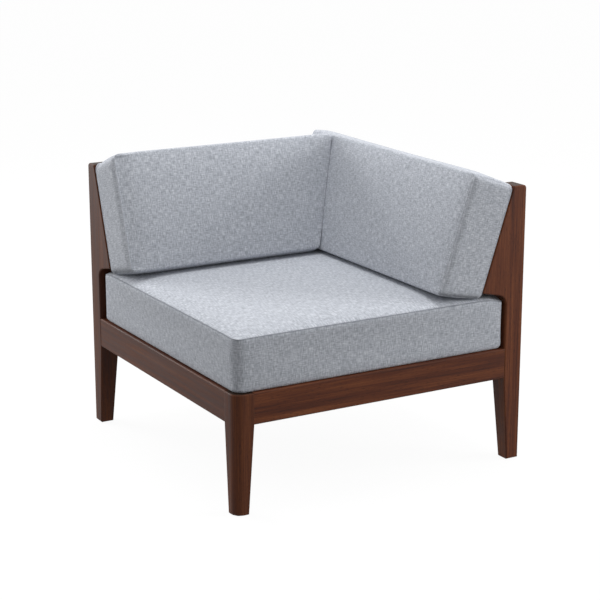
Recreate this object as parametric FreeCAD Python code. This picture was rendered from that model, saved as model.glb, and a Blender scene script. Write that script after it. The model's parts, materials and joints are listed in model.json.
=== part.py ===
import FreeCAD
import Part
import math
import os

# Outdoor corner chair: a square slatted hardwood frame, open at the front and on the left, with
# a leaning backrest at the back and on the right, and three loose boxed cushions.
# Millimetres. The origin is on the floor under the middle of the square plan. +Z is up, +X is to
# the right of a person who faces the chair from its front, and +Y points to the back.

# Plan and heights
WIDTH = 740.0
DEPTH = 740.0
LEG_HEIGHT = 200.0
BACK_RISE = 237.0

# Legs and posts
POST_SIDE = 46.0
FOOT_SIDE = 32.0
FRONT_CORNER_RADIUS = 22.0
POST_CORNER_RADIUS = 3.0
EASED_EDGE = 2.0

# Wedge-shaped heads of the back posts
WEDGE_WIDTH = 112.0
WEDGE_TOP_WIDTH = 34.0
WEDGE_NOSE_RADIUS = 3.0
WEDGE_TOP_RADIUS = 8.0
NOTCH_ANGLE = 12.5
NOTCH_RADIUS = 26.0
NOTCH_CLEARANCE = 6.0

# Seat rails and their tenons
RAIL_HEIGHT = 70.0
RAIL_THICKNESS = 24.0
RAIL_SETBACK = 0.5
TENON_THICKNESS = 12.0
TENON_LENGTH = 20.0
TENON_SHOULDER = 10.0
JOINT_CLEARANCE = 0.2

# Back frame
STILE_THICKNESS = 30.0
STILE_GAP = 2.0
STILE_DROP = 9.0
STILE_TENON_DEPTH = 15.0
STILE_TENON_SHOULDER = 5.0
TOP_RAIL_HEIGHT = 60.0
TOP_RAIL_THICKNESS = 20.0
TOP_RAIL_DROP = 20.0
TOP_TENON_THICKNESS = 10.0
BACK_SLAT_COUNT = 4
BACK_SLAT_HEIGHT = 44.0
BACK_SLAT_THICKNESS = 16.0
BACK_SLAT_MARGIN = 12.0
BACK_SLAT_HOUSING = 10.0
SLAT_EDGE = 2.5

# Seat deck
SEAT_SLAT_COUNT = 8
SEAT_SLAT_WIDTH = 58.0
SEAT_SLAT_THICKNESS = 16.0
SEAT_SLAT_CLEARANCE = 4.0
SLAT_END_CLEARANCE = 0.5
LEDGER_HEIGHT = 22.0
LEDGER_DEPTH = 20.0
LEDGER_CLEARANCE = 0.5
BEARER_HEIGHT = 45.0
BEARER_THICKNESS = 22.0
BEARER_TENON_LENGTH = 10.0
BEARER_TENON_THICKNESS = 12.0
BEARER_TENON_SHOULDER = 8.0

# Corner blocks and their hardware
BLOCK_NEAR = 75.0
BLOCK_FAR = 115.0
BLOCK_HEIGHT = 26.0
BLOCK_CLEARANCE = 2.0
BOLT_RADIUS = 4.0
BOLT_IN_LEG = 28.0
BOLT_OVERHANG = 4.0
WASHER_RADIUS = 9.0
WASHER_THICKNESS = 2.0
NUT_ACROSS_FLATS = 13.0
NUT_HEIGHT = 6.5
NUT_SIDES = 6
HOLE_CLEARANCE = 0.15
HARDWARE_SIDES = 8

# Wood screws
FRAME_SCREW_LENGTH = 40.0
FRAME_SCREW_RADIUS = 2.2
FRAME_SCREW_HEAD_RADIUS = 4.4
SLAT_SCREW_LENGTH = 30.0
SLAT_SCREW_RADIUS = 1.9
SLAT_SCREW_HEAD_RADIUS = 3.8
SCREW_SINK = 0.5
LEDGER_SCREW_COUNT = 3

# Foot glides
GLIDE_RADIUS = 11.0
GLIDE_THICKNESS = 2.0
GLIDE_STEM_RADIUS = 2.5
GLIDE_STEM_LENGTH = 14.0

# Cushions: a sewn cover over a foam core
SEAT_CUSHION_HEIGHT = 132.0
SEAT_CUSHION_INSET = 4.0
SEAT_CUSHION_CLEARANCE = 6.0
SEAT_CROWN = 12.0
SEAT_CORNER_RADIUS = 20.0
BACK_CUSHION_DEPTH = 119.0
BACK_CUSHION_HEIGHT = 267.0
BACK_FLARE_BELOW = 10.0
BACK_FLARE_ABOVE = 8.0
BACK_CUSHION_INSET = 2.0
BACK_CROWN = 6.0
BACK_CORNER_RADIUS = 10.0
SIDE_CUSHION_END_GAP = 12.0
CUSHION_SEAM_RISE = 10.0
CUSHION_SEAM_INSET = 2.0
CUSHION_EDGE_INSET = 9.0
CUSHION_SIDE_DRAW = 2.5
CUSHION_WELT = 0.8
CUSHION_REST_GAP = 0.3
CUSHION_NESTLE = 2.0
COVER_THICKNESS = 2.0
CORE_CLEARANCE = 0.4
# Steps of the swelling sides from the rear seam to the front seam
BOXING_STEPS = 2

# Heights and places that follow from the sizes above
FOOT_Z = GLIDE_THICKNESS
RAIL_TOP = LEG_HEIGHT + RAIL_HEIGHT
RAIL_INNER = RAIL_SETBACK + RAIL_THICKNESS
SEAT_TOP = RAIL_TOP + SEAT_CUSHION_HEIGHT
WEDGE_Z = SEAT_TOP + NOTCH_CLEARANCE
POST_TOP = WEDGE_Z + BACK_RISE
STILE_TOP = POST_TOP - STILE_DROP
TOP_RAIL_TOP = POST_TOP - TOP_RAIL_DROP
DECK_BOTTOM = RAIL_TOP - SEAT_SLAT_THICKNESS
LEAN = math.atan((WEDGE_WIDTH - WEDGE_TOP_WIDTH) / BACK_RISE)
BACK_STILE_START = WIDTH / 2 - WEDGE_WIDTH - STILE_GAP - STILE_THICKNESS
SIDE_STILE_START = DEPTH / 2 - POST_SIDE - STILE_THICKNESS
CORNERS = ((-1, -1), (1, -1), (-1, 1), (1, 1))
RESTING_PASSES = 4
# The rounding of a cushion's rear edge: levels and insets at its start, middle and end
ROUND_MIDDLE = 1 - math.sqrt(0.5)
REAR_ROUNDING = (
    (0.0, CUSHION_EDGE_INSET),
    (
        CUSHION_SEAM_RISE * ROUND_MIDDLE,
        CUSHION_SEAM_INSET + (CUSHION_EDGE_INSET - CUSHION_SEAM_INSET) * ROUND_MIDDLE,
    ),
    (CUSHION_SEAM_RISE, CUSHION_SEAM_INSET),
)
TOLERANCE = 0.01

V = FreeCAD.Vector


# Places: s runs along one side of the chair, u runs in from its outer face, z is the height

def on_front(s, u, z):
    return V(s, u - DEPTH / 2, z)


def on_left(s, u, z):
    return V(u - WIDTH / 2, s, z)


def on_back(s, u, z):
    return V(s, DEPTH / 2 - u, z)


def on_side(s, u, z):
    return V(WIDTH / 2 - u, s, z)


# Basic forms

def block(place, s_range, u_range, z_range):
    """A box between two corners given on one side of the chair."""
    a = place(s_range[0], u_range[0], z_range[0])
    b = place(s_range[1], u_range[1], z_range[1])
    low = V(min(a.x, b.x), min(a.y, b.y), min(a.z, b.z))
    return Part.makeBox(abs(a.x - b.x), abs(a.y - b.y), abs(a.z - b.z), low)


def rounded_corner(before, corner, after, radius):
    """Start, middle and end of the arc that rounds one corner of an outline."""
    to_before = (before - corner).normalize()
    to_after = (after - corner).normalize()
    half = to_before.getAngle(to_after) / 2
    reach = radius / math.tan(half)
    bisector = (to_before + to_after).normalize()
    middle = corner + bisector * (radius / math.sin(half) - radius)
    return corner + to_before * reach, middle, corner + to_after * reach


def drawn_side(start, end, centre, draw):
    """One side of an outline, drawn in towards the centre by an arc."""
    middle = (start + end) * 0.5
    along = (end - start).normalize()
    inward = centre - middle
    inward = (inward - along * inward.dot(along)).normalize()
    return Part.Arc(start, middle + inward * draw, end).toShape()


def outline(corners, draw=0.0):
    """A closed wire round corners, each a point and its radius."""
    arcs = []
    for i, (corner, radius) in enumerate(corners):
        before = corners[i - 1][0]
        after = corners[(i + 1) % len(corners)][0]
        if radius:
            arcs.append(rounded_corner(before, corner, after, radius))
        else:
            arcs.append((corner, corner, corner))
    centre = sum((point for point, _ in corners), V()) * (1 / len(corners))
    edges = []
    for i, (start, middle, end) in enumerate(arcs):
        if corners[i][1]:
            edges.append(Part.Arc(start, middle, end).toShape())
        following = arcs[(i + 1) % len(arcs)][0]
        if draw:
            edges.append(drawn_side(end, following, centre, draw))
        else:
            edges.append(Part.LineSegment(end, following).toShape())
    return Part.Wire(edges)


def prism(corners, direction):
    """A straight solid on an outline."""
    return Part.Face(outline(corners)).extrude(direction)


def turned(start, direction, stations):
    """A faceted turned form, such as a screw: radii at distances along a direction from a start."""
    upright = abs(direction.z) > 1 - TOLERANCE
    side = V(1, 0, 0) if upright else direction.cross(V(0, 0, 1))
    up = side.cross(direction)
    wires = []
    for distance, radius in stations:
        middle = start + direction * distance
        ring = []
        for i in range(HARDWARE_SIDES):
            angle = 2 * math.pi * (i + 0.5) / HARDWARE_SIDES
            ring.append(middle + (side * math.cos(angle) + up * math.sin(angle)) * radius)
        wires.append(Part.makePolygon(ring + ring[:1]))
    return Part.makeLoft(wires, True, True)


def slat_section(width, thickness):
    """Corners of a slat's section with its four edges taken off, measured from one corner."""
    cut = SLAT_EDGE
    return [
        (cut, 0), (width - cut, 0), (width, cut), (width, thickness - cut),
        (width - cut, thickness), (cut, thickness), (0, thickness - cut), (0, cut),
    ]


def rod(start, direction, length, radius):
    return turned(start, direction, [(0, radius), (length, radius)])


def edges_on(shape, axis, value):
    """Edges of a shape that lie in the plane where one coordinate has a value."""
    found = []
    for edge in shape.Edges:
        places = [getattr(vertex.Point, axis) for vertex in edge.Vertexes]
        if all(abs(place - value) < TOLERANCE for place in places):
            found.append(edge)
    return found


# Legs and posts

def taper(place, s_outer, inward, top):
    """The outline of a leg along its side: straight outside, tapered inside below the rail."""
    return [
        (place(s_outer, 0, FOOT_Z), 0),
        (place(s_outer + inward * FOOT_SIDE, 0, FOOT_Z), 0),
        (place(s_outer + inward * POST_SIDE, 0, LEG_HEIGHT), 0),
        (place(s_outer + inward * POST_SIDE, 0, top), 0),
        (place(s_outer, 0, top), 0),
    ]


def square_post(sx, sy, top, outer_radius):
    """A leg with a square section that tapers on its two inner faces, with a rounded outer edge."""
    x, y = sx * WIDTH / 2, sy * DEPTH / 2
    plan = [
        (V(x, y, FOOT_Z), outer_radius),
        (V(x - sx * POST_SIDE, y, FOOT_Z), 0),
        (V(x - sx * POST_SIDE, y - sy * POST_SIDE, FOOT_Z), 0),
        (V(x, y - sy * POST_SIDE, FOOT_Z), 0),
    ]
    leg = prism(plan, V(0, 0, top - FOOT_Z))
    x_place, y_place = (on_front, on_left) if sy < 0 else (on_back, on_side)
    x_taper = prism(taper(x_place, x, -sx, top), V(0, -sy * POST_SIDE, 0))
    y_taper = prism(taper(y_place, y, -sy, top), V(-sx * POST_SIDE, 0, 0))
    leg = leg.common(x_taper).common(y_taper)
    return leg.makeChamfer(EASED_EDGE, edges_on(leg, "z", top))


def wedge_width(z):
    """Width of the wedge head at a height, in from the outer face."""
    return WEDGE_WIDTH - (z - WEDGE_Z) * math.tan(LEAN)


def wedge_outline(place, s, foot, top):
    """The side view of a back post or stile: foot corners, notch over the seat cushion, wedge head."""
    notch_z = WEDGE_Z - (WEDGE_WIDTH - POST_SIDE) * math.tan(math.radians(NOTCH_ANGLE))
    head = [
        (place(s, POST_SIDE, notch_z), NOTCH_RADIUS),
        (place(s, WEDGE_WIDTH, WEDGE_Z), WEDGE_NOSE_RADIUS),
        (place(s, wedge_width(top), top), WEDGE_NOSE_RADIUS),
        (place(s, 0, top), WEDGE_TOP_RADIUS),
    ]
    return [(place(s, u, z), 0) for u, z in foot] + head


def back_post(place, run, outer_axis):
    """A leg that rises past the seat into a wedge head, at the free end of a backrest."""
    s_outer = -run / 2
    foot = ((0, FOOT_Z), (FOOT_SIDE, FOOT_Z), (POST_SIDE, LEG_HEIGHT))
    along = place(1, 0, 0) - place(0, 0, 0)
    post = prism(wedge_outline(place, s_outer, foot, POST_TOP), along * POST_SIDE)
    inward = place(0, 1, 0) - place(0, 0, 0)
    post = post.common(prism(taper(place, s_outer, 1, POST_TOP), inward * WEDGE_WIDTH))
    return post.makeChamfer(EASED_EDGE, edges_on(post, outer_axis, s_outer))


def back_stile(place, start):
    """The wedge-shaped upright that carries the inner ends of the back slats."""
    foot = ((0, RAIL_TOP), (POST_SIDE, RAIL_TOP))
    along = place(1, 0, 0) - place(0, 0, 0)
    stile = prism(wedge_outline(place, start, foot, STILE_TOP), along * STILE_THICKNESS)
    stile = stile.fuse(stile_tenon(place, start, 0))
    housing = top_rail_bar(place, (start, start + STILE_THICKNESS), 0, JOINT_CLEARANCE)
    return stile.cut(housing)


def stile_tenon(place, start, clearance):
    """The stub tenon under a stile, or the mortise for it in the rail's top edge."""
    middle = RAIL_SETBACK + RAIL_THICKNESS / 2
    shoulder = STILE_TENON_SHOULDER - clearance
    s_range = (start + shoulder, start + STILE_THICKNESS - shoulder)
    u_range = (middle - TENON_THICKNESS / 2 - clearance, middle + TENON_THICKNESS / 2 + clearance)
    return block(place, s_range, u_range, (RAIL_TOP - STILE_TENON_DEPTH - clearance, RAIL_TOP))


# Rails

def rail_tenon(place, run, end, clearance):
    """The tenon at one end of a seat rail, or the mortise for it in a post."""
    shoulder = run / 2 - POST_SIDE
    middle = RAIL_SETBACK + RAIL_THICKNESS / 2
    s_range = (end * shoulder, end * (shoulder + TENON_LENGTH + clearance))
    u_range = (middle - TENON_THICKNESS / 2 - clearance, middle + TENON_THICKNESS / 2 + clearance)
    z_range = (LEG_HEIGHT + TENON_SHOULDER - clearance, RAIL_TOP - TENON_SHOULDER + clearance)
    return block(place, s_range, u_range, z_range)


def seat_rail(place, run, outer_axis):
    """A seat rail between two legs, with eased outer edges and a tenon at each end."""
    shoulder = run / 2 - POST_SIDE
    rail = block(place, (-shoulder, shoulder), (RAIL_SETBACK, RAIL_INNER), (LEG_HEIGHT, RAIL_TOP))
    outer = getattr(place(0, RAIL_SETBACK, 0), outer_axis)
    long_edges = [edge for edge in edges_on(rail, outer_axis, outer) if edge.Length > RAIL_HEIGHT]
    rail = rail.makeChamfer(EASED_EDGE, long_edges)
    return rail.fuse([rail_tenon(place, run, end, 0) for end in (-1, 1)])


def top_rail_bar(place, s_range, u_outer, clearance):
    """A stretch of a top rail's section, or the housing for it in a stile's back edge."""
    u_range = (u_outer, RAIL_SETBACK + TOP_RAIL_THICKNESS + clearance)
    z_range = (TOP_RAIL_TOP - TOP_RAIL_HEIGHT - clearance, TOP_RAIL_TOP + clearance)
    return block(place, s_range, u_range, z_range)


def top_tenon(place, run, end, clearance):
    """The tenon at one end of a top rail, or the mortise for it in a post."""
    shoulder = run / 2 - POST_SIDE
    middle = RAIL_SETBACK + TOP_RAIL_THICKNESS / 2
    s_range = (end * shoulder, end * (shoulder + TENON_LENGTH + clearance))
    half = TOP_TENON_THICKNESS / 2 + clearance
    shoulder_gap = TENON_SHOULDER - clearance
    z_range = (TOP_RAIL_TOP - TOP_RAIL_HEIGHT + shoulder_gap, TOP_RAIL_TOP - shoulder_gap)
    return block(place, s_range, (middle - half, middle + half), z_range)


def top_rail(place, run):
    """The rail behind a backrest that ties its post, its stile and the corner post together."""
    shoulder = run / 2 - POST_SIDE
    rail = top_rail_bar(place, (-shoulder, shoulder), RAIL_SETBACK, 0)
    return rail.fuse([top_tenon(place, run, end, 0) for end in (-1, 1)])


# Back slats

def lean_point(place, s, t, d):
    """A point t up the lean of a backrest from the wedge's nose, and d out from it to the front."""
    u = WEDGE_WIDTH - t * math.sin(LEAN) + d * math.cos(LEAN)
    return place(s, u, WEDGE_Z + t * math.cos(LEAN) + d * math.sin(LEAN))


def back_slat(place, run, stile_start, number, clearance):
    """A leaning slat let into a post and a stile, or the housings for it."""
    lean_length = BACK_RISE / math.cos(LEAN)
    pitch = (lean_length - 2 * BACK_SLAT_MARGIN - BACK_SLAT_HEIGHT) / (BACK_SLAT_COUNT - 1)
    low = BACK_SLAT_MARGIN + number * pitch - clearance
    start = POST_SIDE - run / 2 - BACK_SLAT_HOUSING - clearance
    end = stile_start + BACK_SLAT_HOUSING + clearance
    section = slat_section(BACK_SLAT_HEIGHT + 2 * clearance, BACK_SLAT_THICKNESS + 2 * clearance)
    corners = [(lean_point(place, start, low + t, clearance - d), 0) for t, d in section]
    return prism(corners, place(end, 0, 0) - place(start, 0, 0))


# Seat deck

def seat_slat_x(number):
    """The left edge of a seat slat."""
    span = WIDTH - 2 * POST_SIDE - 2 * SEAT_SLAT_CLEARANCE
    return number * (span - SEAT_SLAT_WIDTH) / (SEAT_SLAT_COUNT - 1) - span / 2


def seat_slat(number):
    """A seat slat from the front rail to the back rail, with a screw hole at each end."""
    x = seat_slat_x(number)
    y = DEPTH / 2 - RAIL_INNER - SLAT_END_CLEARANCE
    section = slat_section(SEAT_SLAT_WIDTH, SEAT_SLAT_THICKNESS)
    slat = prism([(V(x + sx, -y, DECK_BOTTOM + sz), 0) for sx, sz in section], V(0, 2 * y, 0))
    return slat.cut([slat_screw(number, place, HOLE_CLEARANCE) for place in (on_front, on_back)])


def ledger(place):
    """The cleat inside the front or back rail that carries the ends of the seat slats."""
    half = WIDTH / 2 - POST_SIDE - LEDGER_CLEARANCE
    u_range = (RAIL_INNER, RAIL_INNER + LEDGER_DEPTH)
    bar = block(place, (-half, half), u_range, (DECK_BOTTOM - LEDGER_HEIGHT, DECK_BOTTOM))
    holes = [slat_screw(number, place, HOLE_CLEARANCE) for number in range(SEAT_SLAT_COUNT)]
    return bar.cut(holes + ledger_screws(place, HOLE_CLEARANCE))


def bearer_tenon(end, clearance):
    """The stub tenon at one end of the bearer, or the mortise for it in a side rail."""
    shoulder = WIDTH / 2 - RAIL_INNER
    s_range = (end * shoulder, end * (shoulder + BEARER_TENON_LENGTH + clearance))
    half = BEARER_TENON_THICKNESS / 2 + clearance
    low = DECK_BOTTOM - BEARER_HEIGHT + BEARER_TENON_SHOULDER - clearance
    z_range = (low, DECK_BOTTOM - BEARER_TENON_SHOULDER + clearance)
    return block(V, s_range, (-half, half), z_range)


def seat_bearer():
    """The bearer on edge under the middle of the seat slats."""
    shoulder = WIDTH / 2 - RAIL_INNER
    half = BEARER_THICKNESS / 2
    bar = block(V, (-shoulder, shoulder), (-half, half), (DECK_BOTTOM - BEARER_HEIGHT, DECK_BOTTOM))
    return bar.fuse([bearer_tenon(end, 0) for end in (-1, 1)])


# Corner blocks and bolts

def block_bottom():
    return DECK_BOTTOM - LEDGER_HEIGHT - BLOCK_CLEARANCE - BLOCK_HEIGHT


def inside_corner(sx, sy, z):
    """The corner where the inner faces of two rails would meet."""
    return V(sx * (WIDTH / 2 - RAIL_INNER), sy * (DEPTH / 2 - RAIL_INNER), z)


def diagonal(sx, sy):
    return V(-sx, -sy, 0) * math.sqrt(0.5)


def corner_block(sx, sy):
    """A block set diagonally across two rails behind a leg, bored for the leg's bolt."""
    corner = inside_corner(sx, sy, block_bottom())
    steps = [(BLOCK_NEAR, 0), (BLOCK_FAR, 0), (0, BLOCK_FAR), (0, BLOCK_NEAR)]
    plan = [(corner + V(-sx * a, -sy * b, 0), 0) for a, b in steps]
    body = prism(plan, V(0, 0, BLOCK_HEIGHT))
    return body.cut([hanger_bolt(sx, sy, HOLE_CLEARANCE)] + block_screws(sx, sy, HOLE_CLEARANCE))


def bolt_point(sx, sy, along):
    """A point on a leg's bolt, measured along the diagonal from the inside corner of the rails."""
    return inside_corner(sx, sy, block_bottom() + BLOCK_HEIGHT / 2) + diagonal(sx, sy) * along


def leg_corner_along():
    """How far along the diagonal the leg's own inner corner lies."""
    return (POST_SIDE - RAIL_INNER) * math.sqrt(2)


def hanger_bolt(sx, sy, clearance):
    """The bolt screwed into a leg that pulls it against the corner block, or the hole for it."""
    start = leg_corner_along() - BOLT_IN_LEG - clearance
    end = BLOCK_FAR / math.sqrt(2) + WASHER_THICKNESS + NUT_HEIGHT + BOLT_OVERHANG
    return rod(bolt_point(sx, sy, start), diagonal(sx, sy), end - start, BOLT_RADIUS + clearance)


def washer(sx, sy):
    start = bolt_point(sx, sy, BLOCK_FAR / math.sqrt(2))
    disc = rod(start, diagonal(sx, sy), WASHER_THICKNESS, WASHER_RADIUS)
    return disc.cut(hanger_bolt(sx, sy, HOLE_CLEARANCE))


def nut(sx, sy):
    """A hexagon nut, with its flats up and down."""
    start = bolt_point(sx, sy, BLOCK_FAR / math.sqrt(2) + WASHER_THICKNESS)
    across = diagonal(sx, sy).cross(V(0, 0, 1))
    radius = NUT_ACROSS_FLATS / 2 / math.cos(math.pi / NUT_SIDES)
    corners = []
    for i in range(NUT_SIDES):
        angle = 2 * math.pi * i / NUT_SIDES
        offset = across * (radius * math.cos(angle)) + V(0, 0, radius * math.sin(angle))
        corners.append((start + offset, 0))
    body = prism(corners, diagonal(sx, sy) * NUT_HEIGHT)
    return body.cut(hanger_bolt(sx, sy, HOLE_CLEARANCE))


# Wood screws

def screw(head, direction, sizes, clearance):
    """A countersunk screw from the middle of its head, or the hole for it with the given clearance."""
    length, radius, head_radius = sizes
    neck = head_radius - radius
    stations = [(0, head_radius), (neck, radius), (length, radius)]
    if clearance:
        stations = [(s + clearance, r + clearance) for s, r in stations]
        stations.insert(0, (-SCREW_SINK - clearance, head_radius + clearance))
    return turned(head, direction, stations)


def frame_screw(head, direction, clearance):
    sunk = head + direction * SCREW_SINK
    sizes = (FRAME_SCREW_LENGTH, FRAME_SCREW_RADIUS, FRAME_SCREW_HEAD_RADIUS)
    return screw(sunk, direction, sizes, clearance)


def slat_screw(number, place, clearance):
    """The screw at one end of a seat slat, down into the ledger."""
    x = seat_slat_x(number) + SEAT_SLAT_WIDTH / 2
    sunk = place(x, RAIL_INNER + LEDGER_DEPTH / 2, RAIL_TOP - SCREW_SINK)
    sizes = (SLAT_SCREW_LENGTH, SLAT_SCREW_RADIUS, SLAT_SCREW_HEAD_RADIUS)
    return screw(sunk, V(0, 0, -1), sizes, clearance)


def ledger_screws(place, clearance):
    """The screws through a ledger into its rail, between the seat slats' screws."""
    outward = place(0, 0, 0) - place(0, 1, 0)
    z = DECK_BOTTOM - LEDGER_HEIGHT / 2
    made = []
    for i in range(LEDGER_SCREW_COUNT):
        gap = round((i + 0.5) * (SEAT_SLAT_COUNT - 1) / LEDGER_SCREW_COUNT - 0.5)
        s = (seat_slat_x(gap) + SEAT_SLAT_WIDTH + seat_slat_x(gap + 1)) / 2
        made.append(frame_screw(place(s, RAIL_INNER + LEDGER_DEPTH, z), outward, clearance))
    return made


def block_screws(sx, sy, clearance):
    """The two screws from the slanted face of a corner block straight into the rails."""
    corner = inside_corner(sx, sy, block_bottom() + BLOCK_HEIGHT / 2)
    offset = (BLOCK_NEAR + BLOCK_FAR) / 2
    reach = BLOCK_FAR - offset
    to_side_rail = frame_screw(corner + V(-sx * reach, -sy * offset, 0), V(sx, 0, 0), clearance)
    to_end_rail = frame_screw(corner + V(-sx * offset, -sy * reach, 0), V(0, sy, 0), clearance)
    return [to_side_rail, to_end_rail]


def top_rail_screw(place, start, clearance):
    """The screw from behind through a top rail into its stile."""
    head = place(start + STILE_THICKNESS / 2, RAIL_SETBACK, TOP_RAIL_TOP - TOP_RAIL_HEIGHT / 2)
    return frame_screw(head, place(0, 1, 0) - place(0, 0, 0), clearance)


def side_stile_screws(clearance):
    """The two screws through the side stile into the corner post beside it."""
    low = (RAIL_TOP + SEAT_TOP) / 2
    high = (WEDGE_Z + TOP_RAIL_TOP - TOP_RAIL_HEIGHT) / 2
    heads = [on_side(SIDE_STILE_START, POST_SIDE / 2, z) for z in (low, high)]
    return [frame_screw(head, V(0, 1, 0), clearance) for head in heads]


def glide(sx, sy, clearance):
    """A nail-in pad under a foot, or the hole for its stem."""
    middle = V(sx * (WIDTH - FOOT_SIDE) / 2, sy * (DEPTH - FOOT_SIDE) / 2, 0)
    up = V(0, 0, 1)
    stem_start = middle + up * GLIDE_THICKNESS
    stem = rod(stem_start, up, GLIDE_STEM_LENGTH + clearance, GLIDE_STEM_RADIUS + clearance)
    if clearance:
        return stem
    return rod(middle, up, GLIDE_THICKNESS, GLIDE_RADIUS).fuse(stem)


# Cushions: boxed forms whose sides swell between two seams, with a crowned face

class Cushion:
    """The place and outline of a cushion: at(a, b, level) is a point a along it, b across it and
    level out from what it rests on. Its far end a_high may change with b and level, and its two long
    sides may flare from the rear face to the front seam."""

    def __init__(self, at, a_low, a_high, b_low, b_high, flare, depth, crown, corner_radius):
        self.at = at
        self.a_low = a_low
        self.a_high = a_high
        self.b_low = b_low
        self.b_high = b_high
        self.flare_below, self.flare_above = flare
        self.depth = depth
        self.crown = crown
        self.corner_radius = corner_radius

    def b_range(self, level):
        """The two long sides at a level."""
        share = level / (self.depth - self.crown)
        return self.b_low - self.flare_below * share, self.b_high + self.flare_above * share

    def section(self, level, inset, draw):
        """The outline at a level, set in from the fullest line of the sides."""
        low, high = self.b_range(level)
        low, high = low + inset, high - inset
        corners = [
            (self.a_low + inset, low),
            (self.a_high(low, level) - inset, low),
            (self.a_high(high, level) - inset, high),
            (self.a_low + inset, high),
        ]
        return outline([(self.at(a, b, level), self.corner_radius) for a, b in corners], draw)

    def boxing(self, shrink):
        """The swelling sides with the flat rear face, smaller by shrink on every side."""
        rear = CUSHION_SEAM_RISE + shrink
        front = self.depth - self.crown - shrink
        wires = [self.section(level + shrink, inset + shrink, 0) for level, inset in REAR_ROUNDING]
        for i in range(1, BOXING_STEPS + 1):
            swell = 1 - (2 * i / BOXING_STEPS - 1) ** 2
            inset = CUSHION_SEAM_INSET * (1 - swell) + shrink
            level = rear + i / BOXING_STEPS * (front - rear)
            wires.append(self.section(level, inset, CUSHION_SIDE_DRAW * swell))
        return Part.makeLoft(wires, True, True)

    def vault(self, start, end, across, front, rise):
        """The face under an arc that rises between the fullest lines of two sides."""
        points = [
            across(start, front),
            across(start, front + CUSHION_WELT),
            across((start + end) / 2, front + rise),
            across(end, front + CUSHION_WELT),
            across(end, front),
        ]
        edges = [
            Part.LineSegment(points[0], points[1]).toShape(),
            Part.Arc(points[1], points[2], points[3]).toShape(),
            Part.LineSegment(points[3], points[4]).toShape(),
            Part.LineSegment(points[4], points[0]).toShape(),
        ]
        return Part.Face(Part.Wire(edges))

    def crowned_face(self):
        """The crown: a slab on the front seam under two arcs that cross. The arc along the cushion is
        higher by the welt, so it rounds off the ends only."""
        front = self.depth - self.crown
        b_low, b_high = self.b_range(front)
        a_high = self.a_high(b_high, front)
        along = self.at(a_high, 0, 0) - self.at(self.a_low, 0, 0)
        up = self.at(0, b_high, 0) - self.at(0, b_low, 0)
        out = self.at(0, 0, self.crown) - self.at(0, 0, 0)
        slab = Part.Face(self.section(front, CUSHION_SEAM_INSET, 0)).extrude(out)

        def across_b(b, level):
            return self.at(self.a_low, b, level)

        def across_a(a, level):
            return self.at(a, b_low, level)

        over_b = self.vault(b_low, b_high, across_b, front, self.crown).extrude(along)
        over_a = self.vault(self.a_low, a_high, across_a, front, self.crown + CUSHION_WELT).extrude(up)
        return slab.common(over_b).common(over_a)

    def cover(self):
        """The sewn cover with the padding under its crown, hollow for the core."""
        whole = self.boxing(0).fuse(self.crowned_face())
        return whole.cut(self.boxing(COVER_THICKNESS))

    def core(self):
        """The foam block inside the cover."""
        return self.boxing(COVER_THICKNESS + CORE_CLEARANCE)


def seat_cushion():
    """The cushion on the seat deck, tucked under the notches of the posts."""
    reach_x = WIDTH / 2 - POST_SIDE - SEAT_CUSHION_CLEARANCE
    reach_y = DEPTH / 2 - POST_SIDE - SEAT_CUSHION_CLEARANCE
    return Cushion(
        at=lambda a, b, level: V(a, b, RAIL_TOP + CUSHION_REST_GAP + level),
        a_low=SEAT_CUSHION_INSET - WIDTH / 2,
        a_high=lambda b, level: reach_x,
        b_low=SEAT_CUSHION_INSET - DEPTH / 2,
        b_high=reach_y,
        flare=(0, 0),
        depth=SEAT_CUSHION_HEIGHT - CUSHION_REST_GAP,
        crown=SEAT_CROWN,
        corner_radius=SEAT_CORNER_RADIUS,
    )


def seat_crown_z(side, u):
    """Height of the higher arc of the seat cushion's crown, u in from the back or right side."""
    half = (side - POST_SIDE - SEAT_CUSHION_CLEARANCE - SEAT_CUSHION_INSET) / 2
    radius = (half ** 2 + SEAT_CROWN ** 2) / (2 * SEAT_CROWN)
    off_middle = half - (u - POST_SIDE - SEAT_CUSHION_CLEARANCE)
    return SEAT_TOP + CUSHION_WELT - radius + math.sqrt(radius ** 2 - off_middle ** 2)


def leaning_cushion(place, run, other_run, end_gap):
    """A cushion that stands on the seat cushion and leans on a backrest. Its far end follows the
    lean of the other backrest, end_gap in front of it."""
    low = -CUSHION_EDGE_INSET
    flare_slope = BACK_FLARE_BELOW / (BACK_CUSHION_DEPTH - BACK_CROWN)
    for _ in range(RESTING_PASSES):
        rests = []
        for level, inset in REAR_ROUNDING:
            out = CUSHION_REST_GAP + level
            edge = inset - level * flare_slope
            u = WEDGE_WIDTH - (low + edge) * math.sin(LEAN) + out * math.cos(LEAN)
            seat_z = seat_crown_z(other_run, u) + CUSHION_REST_GAP
            rests.append((seat_z - WEDGE_Z - out * math.sin(LEAN)) / math.cos(LEAN) - edge)
        low = max(rests)

    def far_end(b, level):
        rise = b * math.cos(LEAN) + (CUSHION_REST_GAP + level) * math.sin(LEAN)
        return other_run / 2 - WEDGE_WIDTH + rise * math.tan(LEAN) - end_gap

    return Cushion(
        at=lambda a, b, level: lean_point(place, a, b, CUSHION_REST_GAP + level),
        a_low=BACK_CUSHION_INSET - run / 2,
        a_high=far_end,
        b_low=low,
        b_high=low + BACK_CUSHION_HEIGHT,
        flare=(BACK_FLARE_BELOW, BACK_FLARE_ABOVE),
        depth=BACK_CUSHION_DEPTH,
        crown=BACK_CROWN,
        corner_radius=BACK_CORNER_RADIUS,
    )


def back_cushion_end_gap():
    """How far the back cushion stops from the side slats: the side cushion's own depth, less what
    its end nestles in beside the fullest line of the crown."""
    return (CUSHION_REST_GAP + BACK_CUSHION_DEPTH - CUSHION_NESTLE) / math.cos(LEAN)


# Sub-parts

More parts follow.
